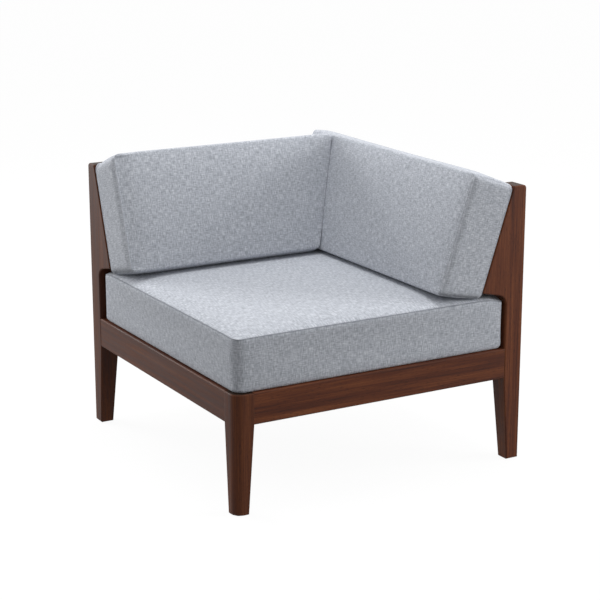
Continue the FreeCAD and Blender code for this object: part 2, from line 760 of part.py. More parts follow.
def frame_pieces():
    """Legs, posts, rails and stiles, with the cuts that seat each on the next."""
    sides = {
        "front": (on_front, WIDTH, "y"),
        "left": (on_left, DEPTH, "x"),
        "back": (on_back, WIDTH, "y"),
        "right": (on_side, DEPTH, "x"),
    }
    gap = JOINT_CLEARANCE

    def mortises(*ends):
        cuts = []
        for side, end in ends:
            place, run, _ = sides[side]
            cuts.append(rail_tenon(place, run, end, gap))
            if side in ("back", "right"):
                cuts.append(top_tenon(place, run, end, gap))
        return cuts

    def leg_holes(sx, sy):
        return [hanger_bolt(sx, sy, HOLE_CLEARANCE), glide(sx, sy, HOLE_CLEARANCE)]

    numbers = range(BACK_SLAT_COUNT)
    back_slats = [back_slat(on_back, WIDTH, BACK_STILE_START, i, gap) for i in numbers]
    side_slats = [back_slat(on_side, DEPTH, SIDE_STILE_START, i, gap) for i in numbers]
    stile_screws = side_stile_screws(HOLE_CLEARANCE)
    back_tie = top_rail_screw(on_back, BACK_STILE_START, HOLE_CLEARANCE)
    side_tie = top_rail_screw(on_side, SIDE_STILE_START, HOLE_CLEARANCE)

    pieces = {}
    leg = square_post(-1, -1, RAIL_TOP, FRONT_CORNER_RADIUS)
    pieces["front_leg"] = leg.cut(mortises(("front", -1), ("left", -1)) + leg_holes(-1, -1))
    post = back_post(on_back, WIDTH, "x")
    cuts = mortises(("left", 1), ("back", -1)) + leg_holes(-1, 1)
    pieces["left_post"] = post.cut(cuts + back_slats)
    post = back_post(on_side, DEPTH, "y")
    cuts = mortises(("front", 1), ("right", -1)) + leg_holes(1, -1)
    pieces["right_post"] = post.cut(cuts + side_slats)
    post = square_post(1, 1, TOP_RAIL_TOP, POST_CORNER_RADIUS)
    cuts = mortises(("back", 1), ("right", 1)) + leg_holes(1, 1)
    pieces["corner_post"] = post.cut(cuts + stile_screws)

    stile = back_stile(on_back, BACK_STILE_START)
    pieces["back_stile"] = stile.cut(back_slats + [back_tie])
    stile = back_stile(on_side, SIDE_STILE_START)
    pieces["side_stile"] = stile.cut(side_slats + stile_screws + [side_tie])

    rail_cuts = {side: [] for side in sides}
    for sx, sy in CORNERS:
        to_side_rail, to_end_rail = block_screws(sx, sy, HOLE_CLEARANCE)
        rail_cuts["left" if sx < 0 else "right"].append(to_side_rail)
        rail_cuts["front" if sy < 0 else "back"].append(to_end_rail)
    rail_cuts["front"] += ledger_screws(on_front, HOLE_CLEARANCE)
    rail_cuts["back"] += ledger_screws(on_back, HOLE_CLEARANCE)
    rail_cuts["back"].append(stile_tenon(on_back, BACK_STILE_START, gap))
    rail_cuts["right"].append(stile_tenon(on_side, SIDE_STILE_START, gap))
    rail_cuts["left"].append(bearer_tenon(-1, gap))
    rail_cuts["right"].append(bearer_tenon(1, gap))
    for side, (place, run, outer_axis) in sides.items():
        pieces[side + "_rail"] = seat_rail(place, run, outer_axis).cut(rail_cuts[side])
    pieces["back_top_rail"] = top_rail(on_back, WIDTH).cut(back_tie)
    pieces["side_top_rail"] = top_rail(on_side, DEPTH).cut(side_tie)
    return pieces


def slat_pieces():
    """Back slats, seat slats and what carries the seat slats."""
    pieces = {}
    for i in range(BACK_SLAT_COUNT):
        pieces[f"back_slat_{i + 1}"] = back_slat(on_back, WIDTH, BACK_STILE_START, i, 0)
        pieces[f"side_slat_{i + 1}"] = back_slat(on_side, DEPTH, SIDE_STILE_START, i, 0)
    for i in range(SEAT_SLAT_COUNT):
        pieces[f"seat_slat_{i + 1}"] = seat_slat(i)
    pieces["front_ledger"] = ledger(on_front)
    pieces["back_ledger"] = ledger(on_back)
    pieces["seat_bearer"] = seat_bearer()
    return pieces


def hardware_pieces():
    """Corner blocks, bolts, screws and glides; identical fasteners share one node."""
    pieces = {}
    for sx, sy in CORNERS:
        name = ("front_" if sy < 0 else "back_") + ("left" if sx < 0 else "right")
        pieces[name + "_corner_block"] = corner_block(sx, sy)
    screws = ledger_screws(on_front, 0) + ledger_screws(on_back, 0) + side_stile_screws(0)
    screws.append(top_rail_screw(on_back, BACK_STILE_START, 0))
    screws.append(top_rail_screw(on_side, SIDE_STILE_START, 0))
    for sx, sy in CORNERS:
        screws += block_screws(sx, sy, 0)
    deck_screws = []
    for place in (on_front, on_back):
        deck_screws += [slat_screw(i, place, 0) for i in range(SEAT_SLAT_COUNT)]
    groups = {
        "hanger_bolts": [hanger_bolt(sx, sy, 0) for sx, sy in CORNERS],
        "bolt_washers": [washer(sx, sy) for sx, sy in CORNERS],
        "bolt_nuts": [nut(sx, sy) for sx, sy in CORNERS],
        "foot_glides": [glide(sx, sy, 0) for sx, sy in CORNERS],
        "frame_screws": screws,
        "slat_screws": deck_screws,
    }
    for name, solids in groups.items():
        pieces[name] = Part.makeCompound(solids)
    return pieces


def cushion_pieces():
    """Cover and core of the seat cushion and of the two cushions that lean on the backrests."""
    cushions = {
        "seat_cushion": seat_cushion(),
        "back_cushion": leaning_cushion(on_back, WIDTH, WIDTH, back_cushion_end_gap()),
        "side_cushion": leaning_cushion(on_side, DEPTH, DEPTH, SIDE_CUSHION_END_GAP),
    }
    pieces = {}
    for name, cushion in cushions.items():
        pieces[name + "_cover"] = cushion.cover()
        pieces[name + "_core"] = cushion.core()
    return pieces


os.makedirs("parts", exist_ok=True)
for pieces in (frame_pieces(), slat_pieces(), hardware_pieces(), cushion_pieces()):
    for name, shape in pieces.items():
        shape.exportStep(f"parts/{name}.step")
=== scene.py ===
import json
import math
from types import SimpleNamespace

import bmesh
import bpy
import numpy as np
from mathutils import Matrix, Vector
from mathutils.bvhtree import BVHTree


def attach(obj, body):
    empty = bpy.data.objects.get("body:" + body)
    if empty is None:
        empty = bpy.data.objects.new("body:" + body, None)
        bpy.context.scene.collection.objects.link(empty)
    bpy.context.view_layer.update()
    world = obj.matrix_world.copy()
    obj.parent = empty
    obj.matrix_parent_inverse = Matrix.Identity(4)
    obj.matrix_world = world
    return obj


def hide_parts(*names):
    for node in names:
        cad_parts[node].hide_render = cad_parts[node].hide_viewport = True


# Outdoor corner chair: stained hardwood frame with boxed cushions in a grey-blue melange weave.
# Metres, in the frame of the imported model: +Z up, -Y the open front, -X the open left side.

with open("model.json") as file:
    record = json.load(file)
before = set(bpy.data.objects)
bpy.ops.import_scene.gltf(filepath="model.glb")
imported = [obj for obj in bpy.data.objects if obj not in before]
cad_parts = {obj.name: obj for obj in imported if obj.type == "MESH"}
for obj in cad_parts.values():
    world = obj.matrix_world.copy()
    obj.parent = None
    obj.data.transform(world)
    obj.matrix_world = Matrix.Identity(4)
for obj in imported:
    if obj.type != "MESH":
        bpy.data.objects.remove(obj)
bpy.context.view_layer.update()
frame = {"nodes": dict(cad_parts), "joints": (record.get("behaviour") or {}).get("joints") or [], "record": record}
nodes = frame["nodes"]
scene = bpy.context.scene
scene.view_settings.view_transform = "Standard"
MM = 0.001

# Camera, found by fitting the corners of the legs, rails and posts
CAMERA_PLACE = (-1.9356, -3.3605, 1.3827)
CAMERA_AIM = (0.0, 0.00035, 0.3425)
CAMERA_LENS = 102.52
SENSOR = 36.0

# Cushions, as cut and sewn: the seat cushion has a seam round its top, and the leaning cushions have
# a panel that folds over the long edges and is sewn to the ends. In each form:
# crown, puff and fullness: how high the panel rises, how far past the CAD's crown, and how fast
# corners and sink: the rounding of the corners in plan, and how far their seams are drawn down
# trim and flare: how the sides stand off the CAD's, and how they spread towards the front
# near and far: the insets at the two ends; fold: the rounding of an edge that has no seam
# bulge: how far the ends of the long sides swell
# valley and painted shade: how deep and how far a seam draws the cloth in, and how dark and wide the shade painted
# along its line is
SEAT_FORM = SimpleNamespace(
    crown=12 * MM, puff=5 * MM, fullness=4.2, corners=(20 * MM, 9 * MM, 20 * MM, 21 * MM),
    sink=(1 * MM, 8 * MM, 4 * MM, 8 * MM), trim_low=0.0, trim_high=0.0,
    flare_below=0.0, flare_above=0.0, near_rear=9 * MM, near_seam=2 * MM, far_trim=3.5 * MM,
    fold=0.0, near_fold=0.0, far_fold=0.0, bulge=0.0,
    valley=1.2 * MM, boxing_valley=2.5 * MM, panel_valley=3.5 * MM, painted_shade=0.8, painted_shade_width=3 * MM,
)
LEANING = dict(
    crown=6 * MM, puff=0.0, fullness=1.6, corners=(10 * MM,) * 4, sink=(0.0,) * 4,
    near_rear=0.7 * MM, near_seam=0.8 * MM, fold=6 * MM, near_fold=4 * MM, far_fold=3 * MM, bulge=7 * MM,
)
BACK_FORM = SimpleNamespace(
    **LEANING, trim_low=2.5 * MM, trim_high=1.5 * MM, flare_below=7.5 * MM, flare_above=6 * MM,
    far_trim=3 * MM, valley=4.5 * MM, boxing_valley=10 * MM, panel_valley=30 * MM,
    painted_shade=0.1, painted_shade_width=6 * MM,
)
SIDE_FORM = SimpleNamespace(
    **LEANING, trim_low=-3 * MM, trim_high=-3 * MM, flare_below=13 * MM, flare_above=1.5 * MM,
    far_trim=1.5 * MM, valley=2.4 * MM, boxing_valley=6 * MM, panel_valley=12 * MM,
    painted_shade=0.22, painted_shade_width=5 * MM,
)
# The rear edge's rounding, and how far the seams and the middles of the sides are drawn in
SEAM_RISE = 10 * MM
REAR_INSET = 9 * MM
SEAM_INSET = 2 * MM
SIDE_DRAW = 2.5 * MM
# The cloth's grid, and how far its lines crowd towards the seams, from 0, even, to 1
GRID = 11 * MM
REAR_ROWS = 4
BOXING_ROWS = 12
FOLD_ROWS = 3
CROWDING = 0.8
# The distance that stands for no seam nearby
NO_SEAM = 50 * MM
# The gap at which one cushion rests on another, and how far off it is looked for
REST_GAP = 0.6 * MM
REST_REACH = 300 * MM
# How far the bulge of the long sides reaches down the ends, and how it fades at the near end
BULGE_REACH = 60 * MM
BULGE_FADE = 50 * MM
BULGE_LOST = 0.8
# How far from a corner its seam is drawn down
SINK_REACH = 30 * MM
SIM_FRAMES = 20
SIM_PRESSURE = 4.0
# Points on the arc of a rounded corner, an odd number so that one is its middle
ARC_POINTS = 17
# Points closer than this are taken to lie together
TOUCH = 0.1 * MM
TINY = 1e-9

# Hardwood: the colours of its stain from the dark streaks to the light ones, and how its bands of
# growth and its fibres share the figure
STAIN = ((0.30, "#3D2017"), (0.43, "#542C1D"), (0.55, "#693B25"), (0.70, "#824E31"))
BAND_SHARE = 0.55
FIBRE_SHARE = 0.45
PORE_COLOUR = "#2A160F"
END_GRAIN_COLOUR = "#27211B"
END_GRAIN_MOST = 0.8
RUBBED_COLOUR = "#9A6A4A"
RUBBED_MOST = 0.22
RUBBED_WIDTH = 1.8 * MM
# How far apart in the log the boards were cut
BOARD_STEP = (0.37, 0.113, 0.071)

# Weave: the greys of its yarns, and the colour of the painted shade along a sewn line
YARN = ((0.36, "#9DA1A9"), (0.465, "#B2B6BE"), (0.535, "#BDC1C9"), (0.64, "#D3D6DC"))
PAINTED_SEAM_SHADE = "#4C5058"
THREAD_SPACING = 1.6 * MM

# Metal and nylon: the width of the clouds in the plating and of the mould's grit
ZINC_CLOUD = 4 * MM
NYLON_GRIT = 0.8 * MM

# Stage: the floor is lit as a grey, seen as a pale one, and mixed with white
FLOOR_HALF = 12.0
FLOOR_LIT = "#4A4A4A"
FLOOR_SEEN = "#D0D0D0"
FLOOR_WHITE_SHARE = 0.88
FLOOR_WHITE = 1.07
WORLD_LIGHT = 0.60
WORLD_SEEN = 1.0
# Name, place, aim, width in metres and power in watts
SOFTBOXES = (
    ("overhead_softbox", (0.4, 0.4, 3.2), (0.0, 0.0, 0.35), 2.0, 48),
    ("right_softbox", (2.4, -1.6, 1.15), (0.2, -0.37, 0.4), 1.4, 46),
    ("left_softbox", (-1.6, 2.4, 1.15), (-0.37, 0.2, 0.4), 1.4, 49),
)


# Shared helpers

# The kind of node that the trees use most
MATH = "ShaderNodeMath"


def linear(colour):
    """Linear RGBA of an sRGB hex value."""
    channels = [int(colour[i:i + 2], 16) / 255 for i in (1, 3, 5)]
    return [c / 12.92 if c <= 0.04045 else ((c + 0.055) / 1.055) ** 2.4 for c in channels] + [1.0]


def add(tree, kind, inputs=None, **settings):
    """Adds a node with its settings. An input is a value, the output that feeds it, or a node whose
    first output feeds it."""
    node = tree.nodes.new(kind)
    for key, value in settings.items():
        setattr(node, key, value)
    for key, value in (inputs or {}).items():
        if isinstance(value, bpy.types.Node):
            value = value.outputs[0]
        if isinstance(value, bpy.types.NodeSocket):
            tree.links.new(value, node.inputs[key])
        else:
            node.inputs[key].default_value = value
    return node


def new_material(name):
    material = bpy.data.materials.new(name)
    material.use_nodes = True
    tree = material.node_tree
    tree.nodes.clear()
    return material, tree


def set_ramp(node, stops, tone=1.0):
    """Sets a colour ramp's stops, each a place and an sRGB hex value, scaled by tone."""
    elements = node.color_ramp.elements
    while len(elements) < len(stops):
        elements.new(1.0)
    for element, (place, colour) in zip(elements, stops):
        element.position = place
        element.color = [tone * c for c in linear(colour)[:3]] + [1.0]


def new_object(name, mesh):
    made = bpy.data.objects.new(name, mesh)
    scene.collection.objects.link(made)
    return made


def apply_modifiers(piece, name):
    """Puts the mesh that a piece's modifiers make in place of its own."""
    before = piece.data
    mesh = bpy.data.meshes.new_from_object(piece.evaluated_get(bpy.context.evaluated_depsgraph_get()))
    piece.modifiers.clear()
    piece.data = mesh
    bpy.data.meshes.remove(before)
    mesh.name = name
    return mesh


# Materials

def stained_hardwood(name, turn, start, tone):
    """Dense hardwood, planed, stained dark red-brown and oiled to a satin: straight streaks in two
    browns along the fibres, fine pores, and a slightly rubbed stain on the edges.
    turn brings the fibres to X, start sets where in the log the board was cut, and tone darkens the
    stain, as painted shade on boards where shade falls."""
    material, tree = new_material(name)
    place = add(tree, "ShaderNodeTexCoord").outputs["Object"]
    board = add(tree, "ShaderNodeMapping", {"Vector": place, "Location": start, "Rotation": turn})

    # Growth bands about 14 mm wide, fibre streaks about 3 mm, pores 0.6 mm: all drawn out along X
    layers = []
    sizes = ((0.50, 0.014, 3.0), (0.12, 0.003, 3.0), (0.014, 0.0006, 1.0))
    for along, across, detail in sizes:
        scale = (1 / along, 1 / across, 1 / across)
        stretched = add(tree, "ShaderNodeVectorMath", {0: board, 1: scale}, operation="MULTIPLY")
        noise = add(tree, "ShaderNodeTexNoise", {"Vector": stretched, "Scale": 1.0, "Detail": detail})
        layers.append(noise.outputs["Fac"])
    bands, fibres, pores = layers
    streaks = add(tree, MATH, {0: fibres, 1: FIBRE_SHARE}, operation="MULTIPLY")
    figure = add(tree, MATH, {0: bands, 1: BAND_SHARE, 2: streaks}, operation="MULTIPLY_ADD")
    stain = add(tree, "ShaderNodeValToRGB", {"Fac": figure})
    # Painted shade: tone darkens the stain on the boards where shade falls
    set_ramp(stain, STAIN, tone)
    pore = add(tree, "ShaderNodeMapRange", {0: pores, 1: 0.60, 2: 0.72}, clamp=True)
    filled = add(tree, "ShaderNodeMix", {0: pore, 6: stain, 7: linear(PORE_COLOUR)}, data_type="RGBA")

    # End grain drinks more stain and comes out nearly black
    flat = add(tree, "ShaderNodeTexCoord").outputs["Normal"]
    to_board = add(tree, "ShaderNodeMapping", {"Vector": flat, "Rotation": turn}, vector_type="NORMAL")
    endwise = add(tree, "ShaderNodeSeparateXYZ", {0: to_board})
    endwise = add(tree, MATH, {0: endwise}, operation="ABSOLUTE")
    endwise = add(tree, "ShaderNodeMapRange", {0: endwise, 1: 0.75, 2: 0.95, 4: END_GRAIN_MOST}, clamp=True)
    filled = add(tree, "ShaderNodeMix", {
        0: endwise, 6: filled.outputs[2], 7: linear(END_GRAIN_COLOUR),
    }, data_type="RGBA")

    # The rubbed edge: where a rounded normal leaves the true one
    soft = add(tree, "ShaderNodeBevel", {"Radius": RUBBED_WIDTH}, samples=4)
    true = add(tree, "ShaderNodeNewGeometry").outputs["Normal"]
    facing = add(tree, "ShaderNodeVectorMath", {0: soft, 1: true}, operation="DOT_PRODUCT").outputs["Value"]
    edge = add(tree, "ShaderNodeMapRange", {0: facing, 1: 0.99, 2: 0.80, 4: RUBBED_MOST}, clamp=True)
    colour = add(tree, "ShaderNodeMix", {
        0: edge, 6: filled.outputs[2], 7: linear(RUBBED_COLOUR),
    }, data_type="RGBA")

    rough = add(tree, "ShaderNodeMapRange", {0: fibres, 1: 0.3, 2: 0.7, 3: 0.42, 4: 0.58})
    relief = add(tree, MATH, {0: pore, 1: -0.6, 2: fibres}, operation="MULTIPLY_ADD")
    bump = add(tree, "ShaderNodeBump", {
        "Height": relief, "Strength": 0.35, "Distance": 0.2 * MM, "Normal": soft,
    })
    shader = add(tree, "ShaderNodeBsdfPrincipled", {
        "Base Color": colour.outputs[2], "Roughness": rough, "Normal": bump,
        "IOR": 1.5, "Specular IOR Level": 0.15,
    })
    add(tree, "ShaderNodeOutputMaterial", {"Surface": shader})
    return material


def melange_weave(name):
    """Plain-woven outdoor acrylic in slubby yarns of several greys: soft and matt, flecked along both
    threads, with a faint halo of loose fibre. The yarns are about 0.8 mm thick; the flecks are drawn
    1.9 mm thick so that they show from across a room."""
    material, tree = new_material(name)
    cloth = add(tree, "ShaderNodeUVMap", uv_map="weave")

    # Slubs along the warp and the weft, and the mottled dye lot
    layers = []
    sizes = ((0.0019, 0.014), (0.014, 0.0019), (0.0016, 0.0016), (0.045, 0.045))
    for wide, high in sizes:
        scale = (1 / wide, 1 / high, 1.0)
        stretched = add(tree, "ShaderNodeVectorMath", {0: cloth, 1: scale}, operation="MULTIPLY")
        noise = add(tree, "ShaderNodeTexNoise", {"Vector": stretched, "Scale": 1.0, "Detail": 1.0},
                    noise_dimensions="2D")
        layers.append(noise.outputs["Fac"])
    warp, weft, grain, mottle = layers
    shares = ((warp, 0.44), (weft, 0.38), (grain, 0.13), (mottle, 0.05))
    heather = 0.0
    for layer, share in shares:
        heather = add(tree, MATH, {0: layer, 1: share, 2: heather}, operation="MULTIPLY_ADD")
    yarn = add(tree, "ShaderNodeValToRGB", {"Fac": heather})
    set_ramp(yarn, YARN)

    # Painted shade along a sewn line, for the shadow in its valley
    painted_shade = add(tree, "ShaderNodeAttribute", attribute_name="painted_seam_shade").outputs["Fac"]
    colour = add(tree, "ShaderNodeMix", {0: painted_shade, 6: yarn, 7: linear(PAINTED_SEAM_SHADE)}, data_type="RGBA")

    # Over and under of the threads
    turn = math.pi / THREAD_SPACING
    turns = add(tree, "ShaderNodeVectorMath", {0: cloth, 1: (turn,) * 3}, operation="MULTIPLY")
    split = add(tree, "ShaderNodeSeparateXYZ", {0: turns})
    across = add(tree, MATH, {0: split.outputs[0]}, operation="SINE")
    down = add(tree, MATH, {0: split.outputs[1]}, operation="SINE")
    crossing = add(tree, MATH, {0: across, 1: down}, operation="MULTIPLY")
    relief = add(tree, MATH, {0: heather, 1: 3.0, 2: crossing}, operation="MULTIPLY_ADD")
    bump = add(tree, "ShaderNodeBump", {"Height": relief, "Strength": 0.5, "Distance": 0.25 * MM})
    shader = add(tree, "ShaderNodeBsdfPrincipled", {
        "Base Color": colour.outputs[2], "Normal": bump, "Roughness": 0.92, "IOR": 1.46,
        "Specular IOR Level": 0.15, "Sheen Weight": 0.12, "Sheen Roughness": 0.5,
    })
    add(tree, "ShaderNodeOutputMaterial", {"Surface": shader})
    return material


def zinc_plate(name):
    """Bright zinc-plated steel: a pale warm metal with a cloudy, slightly uneven gloss."""
    material, tree = new_material(name)
    place = add(tree, "ShaderNodeTexCoord").outputs["Object"]
    cloud = add(tree, "ShaderNodeTexNoise", {"Vector": place, "Scale": 1 / ZINC_CLOUD, "Detail": 3.0})
    tone = add(tree, "ShaderNodeValToRGB", {"Fac": cloud})
    set_ramp(tone, ((0.35, "#A8A59C"), (0.65, "#C9C6BD")))
    rough = add(tree, "ShaderNodeMapRange", {0: cloud, 1: 0.3, 2: 0.7, 3: 0.28, 4: 0.45})
    shader = add(tree, "ShaderNodeBsdfPrincipled", {
        "Base Color": tone, "Metallic": 1.0, "Roughness": rough,
    })
    add(tree, "ShaderNodeOutputMaterial", {"Surface": shader})
    return material


def moulded_nylon(name):
    """Black moulded nylon: a fine even grain from the mould and a dull gloss."""
    material, tree = new_material(name)
    place = add(tree, "ShaderNodeTexCoord").outputs["Object"]
    grit = add(tree, "ShaderNodeTexNoise", {"Vector": place, "Scale": 1 / NYLON_GRIT, "Detail": 2.0})
    tone = add(tree, "ShaderNodeValToRGB", {"Fac": grit})
    set_ramp(tone, ((0.3, "#191919"), (0.7, "#262524")))
    bump = add(tree, "ShaderNodeBump", {"Height": grit, "Strength": 0.3, "Distance": 0.05 * MM})
    shader = add(tree, "ShaderNodeBsdfPrincipled", {
        "Base Color": tone, "Roughness": 0.5, "IOR": 1.53, "Normal": bump,
    })
    add(tree, "ShaderNodeOutputMaterial", {"Surface": shader})
    return material


# The hardwood frame: each board has its own cut, with the fibres along it

UPRIGHT = (0.0, math.pi / 2, 0.0)
ALONG_X = (0.0, 0.0, 0.0)
ALONG_Y = (0.0, 0.0, -math.pi / 2)
FALLING = (0.0, 0.0, math.pi / 4)
RISING = (0.0, 0.0, -math.pi / 4)
FIBRES = {
    "leg": UPRIGHT, "post": UPRIGHT, "stile": UPRIGHT,
    "front_rail": ALONG_X, "back_rail": ALONG_X, "back_top_rail": ALONG_X, "back_slat": ALONG_X,
    "ledger": ALONG_X, "seat_bearer": ALONG_X,
    "left_rail": ALONG_Y, "right_rail": ALONG_Y, "side_top_rail": ALONG_Y, "side_slat": ALONG_Y,
    "seat_slat": ALONG_Y,
    "front_left_corner_block": FALLING, "back_right_corner_block": FALLING,
    "front_right_corner_block": RISING, "back_left_corner_block": RISING,
}
# Painted shade: how much of the stain's light the left post, the left rail and the front leg give back, darkened
# for the shade that falls on them; the rest give back all
PAINTED_SHADE_TONES = {"left_post": 0.60, "left_rail": 0.68, "front_leg": 0.76}


def fibres_of(node):
    return next(turn for part, turn in FIBRES.items() if part in node)


def finish_frame():
    """Gives each wooden node its own board, and darkens the stain on some as painted shade."""
    slots = {row["node"]: row["material_slot"] for row in frame["record"]["subparts"]}
    boards = sorted(node for node, slot in slots.items() if slot == "stained_hardwood")
    for number, node in enumerate(boards, 1):
        start = [step * number for step in BOARD_STEP]
        material = stained_hardwood(f"stained_hardwood_{node}", fibres_of(node), start, PAINTED_SHADE_TONES.get(node, 1.0))
        mesh = nodes[node].data
        mesh.materials.clear()
        mesh.materials.append(material)


# Hardware: the CAD's fasteners have eight sides, and each is made round, with its thread, recess or
# chamfer, by one tree that sets it where the CAD has it

# A round form of the CAD's mean width also clears the eight-sided holes
ROUND = 0.95
SIDES = 16
THREAD_PITCH = {"hanger_bolts": 1.25 * MM, "frame_screws": 2.2 * MM, "slat_screws": 1.9 * MM}
# Shares of the radius
THREAD_DEPTH = {"hanger_bolts": 0.16, "frame_screws": 0.30, "slat_screws": 0.30}
POINT_WIDTH = 0.15
RECESS_REACH = 0.7
RECESS_DEPTH = 0.4
# Rings of points on a recessed head
HEAD_RINGS = 5
BOLT_CHAMFER = 0.7 * MM
SCREW_POINT = 6 * MM
NUT_BORE = 4.0 * MM
# A nut's barrel: where its chamfer starts from the middle, and its width in the middle and at the ends
CHAMFER_START = 0.62
BARREL_WIDTH = 1.03
BARREL_END = 0.83
WASHER_BORE = 4.0 * MM
WASHER_EASING = 0.3 * MM
GLIDE_PAD = 2 * MM
GLIDE_EASING = 0.8 * MM
# How close to a pad's faces its edges are eased: the higher, the closer
EASING_POWER = 4.0
# Edges sharper than this show as edges, in degrees
SHARP = 35
MERGED = 0.005 * MM


def loose_parts(node):
    """The points of each separate solid in a node, from a merged copy of its mesh."""
    work = bmesh.new()
    work.from_mesh(nodes[node].data)
    bmesh.ops.remove_doubles(work, verts=work.verts, dist=2 * MERGED)
    parts, seen = [], set()
    for first in work.verts:
        if first in seen:
            continue
        seen.add(first)
        part = [first]
        for vert in part:
            for edge in vert.link_edges:
                other = edge.other_vert(vert)
                if other not in seen:
                    seen.add(other)
                    part.append(other)
        parts.append(np.array([tuple(vert.co) for vert in part]))
    work.free()
    return parts


def measure(points):
    """Where a turned solid starts, its axis, length, and radius at each end; the wide end comes first."""
    middle = points.mean(0)
    spread, lines = np.linalg.svd(points - middle)[1:]
    # Two spreads of a turned form are alike, and the third is along its axis
    axis = lines[0] if spread[0] - spread[1] > spread[1] - spread[2] else lines[2]
    along = (points - middle) @ axis
    radial = np.linalg.norm(points - middle - np.outer(along, axis), axis=1)
    first = radial[along < along.min() + TOUCH].max()
    last = radial[along > along.max() - TOUCH].max()
    if last > first + TOUCH:
        axis, along, first, last = -axis, -along, last, first
    return SimpleNamespace(start=middle + axis * along.min(), axis=axis, length=np.ptp(along),
                           first=first, last=last)


def new_tree(name, sizes):
    """A Geometry Nodes tree with places, named sizes and a finish as its inputs."""
    tree = bpy.data.node_groups.new(name, "GeometryNodeTree")
    tree.interface.new_socket("Places", in_out="INPUT", socket_type="NodeSocketGeometry")
    for size in sizes:
        tree.interface.new_socket(size, in_out="INPUT", socket_type="NodeSocketFloat")
    tree.interface.new_socket("Finish", in_out="INPUT", socket_type="NodeSocketMaterial")
    tree.interface.new_socket("Made", in_out="OUTPUT", socket_type="NodeSocketGeometry")
    return tree, add(tree, "NodeGroupInput").outputs


def set_out(tree, given, shape):
    """Ends a tree: sets the shape on every place, along its axis, and gives it the finish."""
    axis = add(tree, "GeometryNodeInputNamedAttribute", {"Name": "axis"}, data_type="FLOAT_VECTOR")
    turn = add(tree, "FunctionNodeAlignRotationToVector", {"Vector": axis}, axis="Z")
    copies = add(tree, "GeometryNodeInstanceOnPoints",
                 {"Points": given["Places"], "Instance": shape, "Rotation": turn})
    real = add(tree, "GeometryNodeRealizeInstances", {"Geometry": copies})
    real = add(tree, "GeometryNodeMergeByDistance", {"Geometry": real, "Distance": MERGED})
    made = add(tree, "GeometryNodeSetMaterial", {"Geometry": real, "Material": given["Finish"]})
    add(tree, "NodeGroupOutput", {"Made": made})
    return tree


def threaded_tree(name, recessed):
    """A screw or bolt along Z from its head at the origin. The thread is drawn as rings."""
    tree, given = new_tree(name, ("Length", "Radius", "Head Radius", "Pitch", "Depth", "Point Length",
                                  "Point Radius"))
    turns = add(tree, MATH, {0: given["Length"], 1: given["Pitch"]}, operation="DIVIDE")
    turns = add(tree, MATH, {0: turns}, operation="ROUND")
    rings = add(tree, MATH, {0: turns, 1: 2.0}, operation="MULTIPLY")
    rod = add(tree, "GeometryNodeMeshCylinder", {
        "Vertices": SIDES, "Side Segments": rings, "Fill Segments": HEAD_RINGS if recessed else 1,
        "Radius": given["Radius"], "Depth": given["Length"],
    }, fill_type="TRIANGLE_FAN")

    # How wide the rod is at each distance from its head
    place = add(tree, "GeometryNodeInputPosition")
    place = add(tree, "ShaderNodeSeparateXYZ", {0: place}).outputs
    down = add(tree, MATH, {0: given["Length"], 1: 0.5, 2: place[2]}, operation="MULTIPLY_ADD")
    neck = add(tree, MATH, {0: given["Head Radius"], 1: given["Radius"]}, operation="SUBTRACT")
    neck = add(tree, MATH, {0: neck}, operation="ABSOLUTE")
    wide = add(tree, MATH, {0: given["Head Radius"], 1: given["Radius"]}, operation="DIVIDE")
    head = add(tree, "ShaderNodeMapRange", {0: down, 1: 0.0, 2: neck, 3: wide, 4: 1.0})
    share = add(tree, MATH, {0: down, 1: given["Length"]}, operation="DIVIDE")
    ring = add(tree, MATH, {0: share, 1: rings}, operation="MULTIPLY")
    ring = add(tree, MATH, {0: ring}, operation="ROUND")
    odd = add(tree, MATH, {0: ring, 1: 2.0}, operation="MODULO")
    below = add(tree, MATH, {0: down, 1: neck}, operation="GREATER_THAN")
    cut = add(tree, MATH, {0: odd, 1: below}, operation="MULTIPLY")
    cut = add(tree, MATH, {0: cut, 1: given["Depth"]}, operation="MULTIPLY")
    crest = add(tree, MATH, {0: 1.0, 1: cut}, operation="SUBTRACT")
    left = add(tree, MATH, {0: given["Length"], 1: down}, operation="SUBTRACT")
    narrow = add(tree, MATH, {0: given["Point Radius"], 1: given["Radius"]}, operation="DIVIDE")
    point = add(tree, "ShaderNodeMapRange", {0: left, 1: 0.0, 2: given["Point Length"], 3: narrow, 4: 1.0})
    width = add(tree, MATH, {0: head, 1: crest}, operation="MULTIPLY")
    width = add(tree, MATH, {0: width, 1: point}, operation="MULTIPLY")
    x = add(tree, MATH, {0: place[0], 1: width}, operation="MULTIPLY")
    y = add(tree, MATH, {0: place[1], 1: width}, operation="MULTIPLY")
    z = down

    # The cross recess in a wood screw's head: its points on two lines across the head are drawn down
    if recessed:
        across = add(tree, MATH, {0: place[0]}, operation="ABSOLUTE")
        up = add(tree, MATH, {0: place[1]}, operation="ABSOLUTE")
        aside = add(tree, MATH, {0: across, 1: up}, operation="MINIMUM")
        away = add(tree, MATH, {0: across, 1: up}, operation="MAXIMUM")
        away = add(tree, MATH, {0: away, 1: given["Radius"]}, operation="DIVIDE")
        fall = add(tree, "ShaderNodeMapRange", {0: away, 1: 0.0, 2: RECESS_REACH, 3: RECESS_DEPTH, 4: 0.0})
        on_arm = add(tree, MATH, {0: aside, 1: 4 * MERGED}, operation="LESS_THAN")
        on_head = add(tree, MATH, {0: down, 1: 2 * MERGED}, operation="LESS_THAN")
        sink = add(tree, MATH, {0: on_arm, 1: on_head}, operation="MULTIPLY")
        sink = add(tree, MATH, {0: sink, 1: fall}, operation="MULTIPLY")
        z = add(tree, MATH, {0: sink, 1: given["Head Radius"], 2: down},
                operation="MULTIPLY_ADD")
    turned = add(tree, "ShaderNodeCombineXYZ", {0: x, 1: y, 2: z})
    shape = add(tree, "GeometryNodeSetPosition", {"Geometry": rod, "Position": turned})
    return set_out(tree, given, shape)


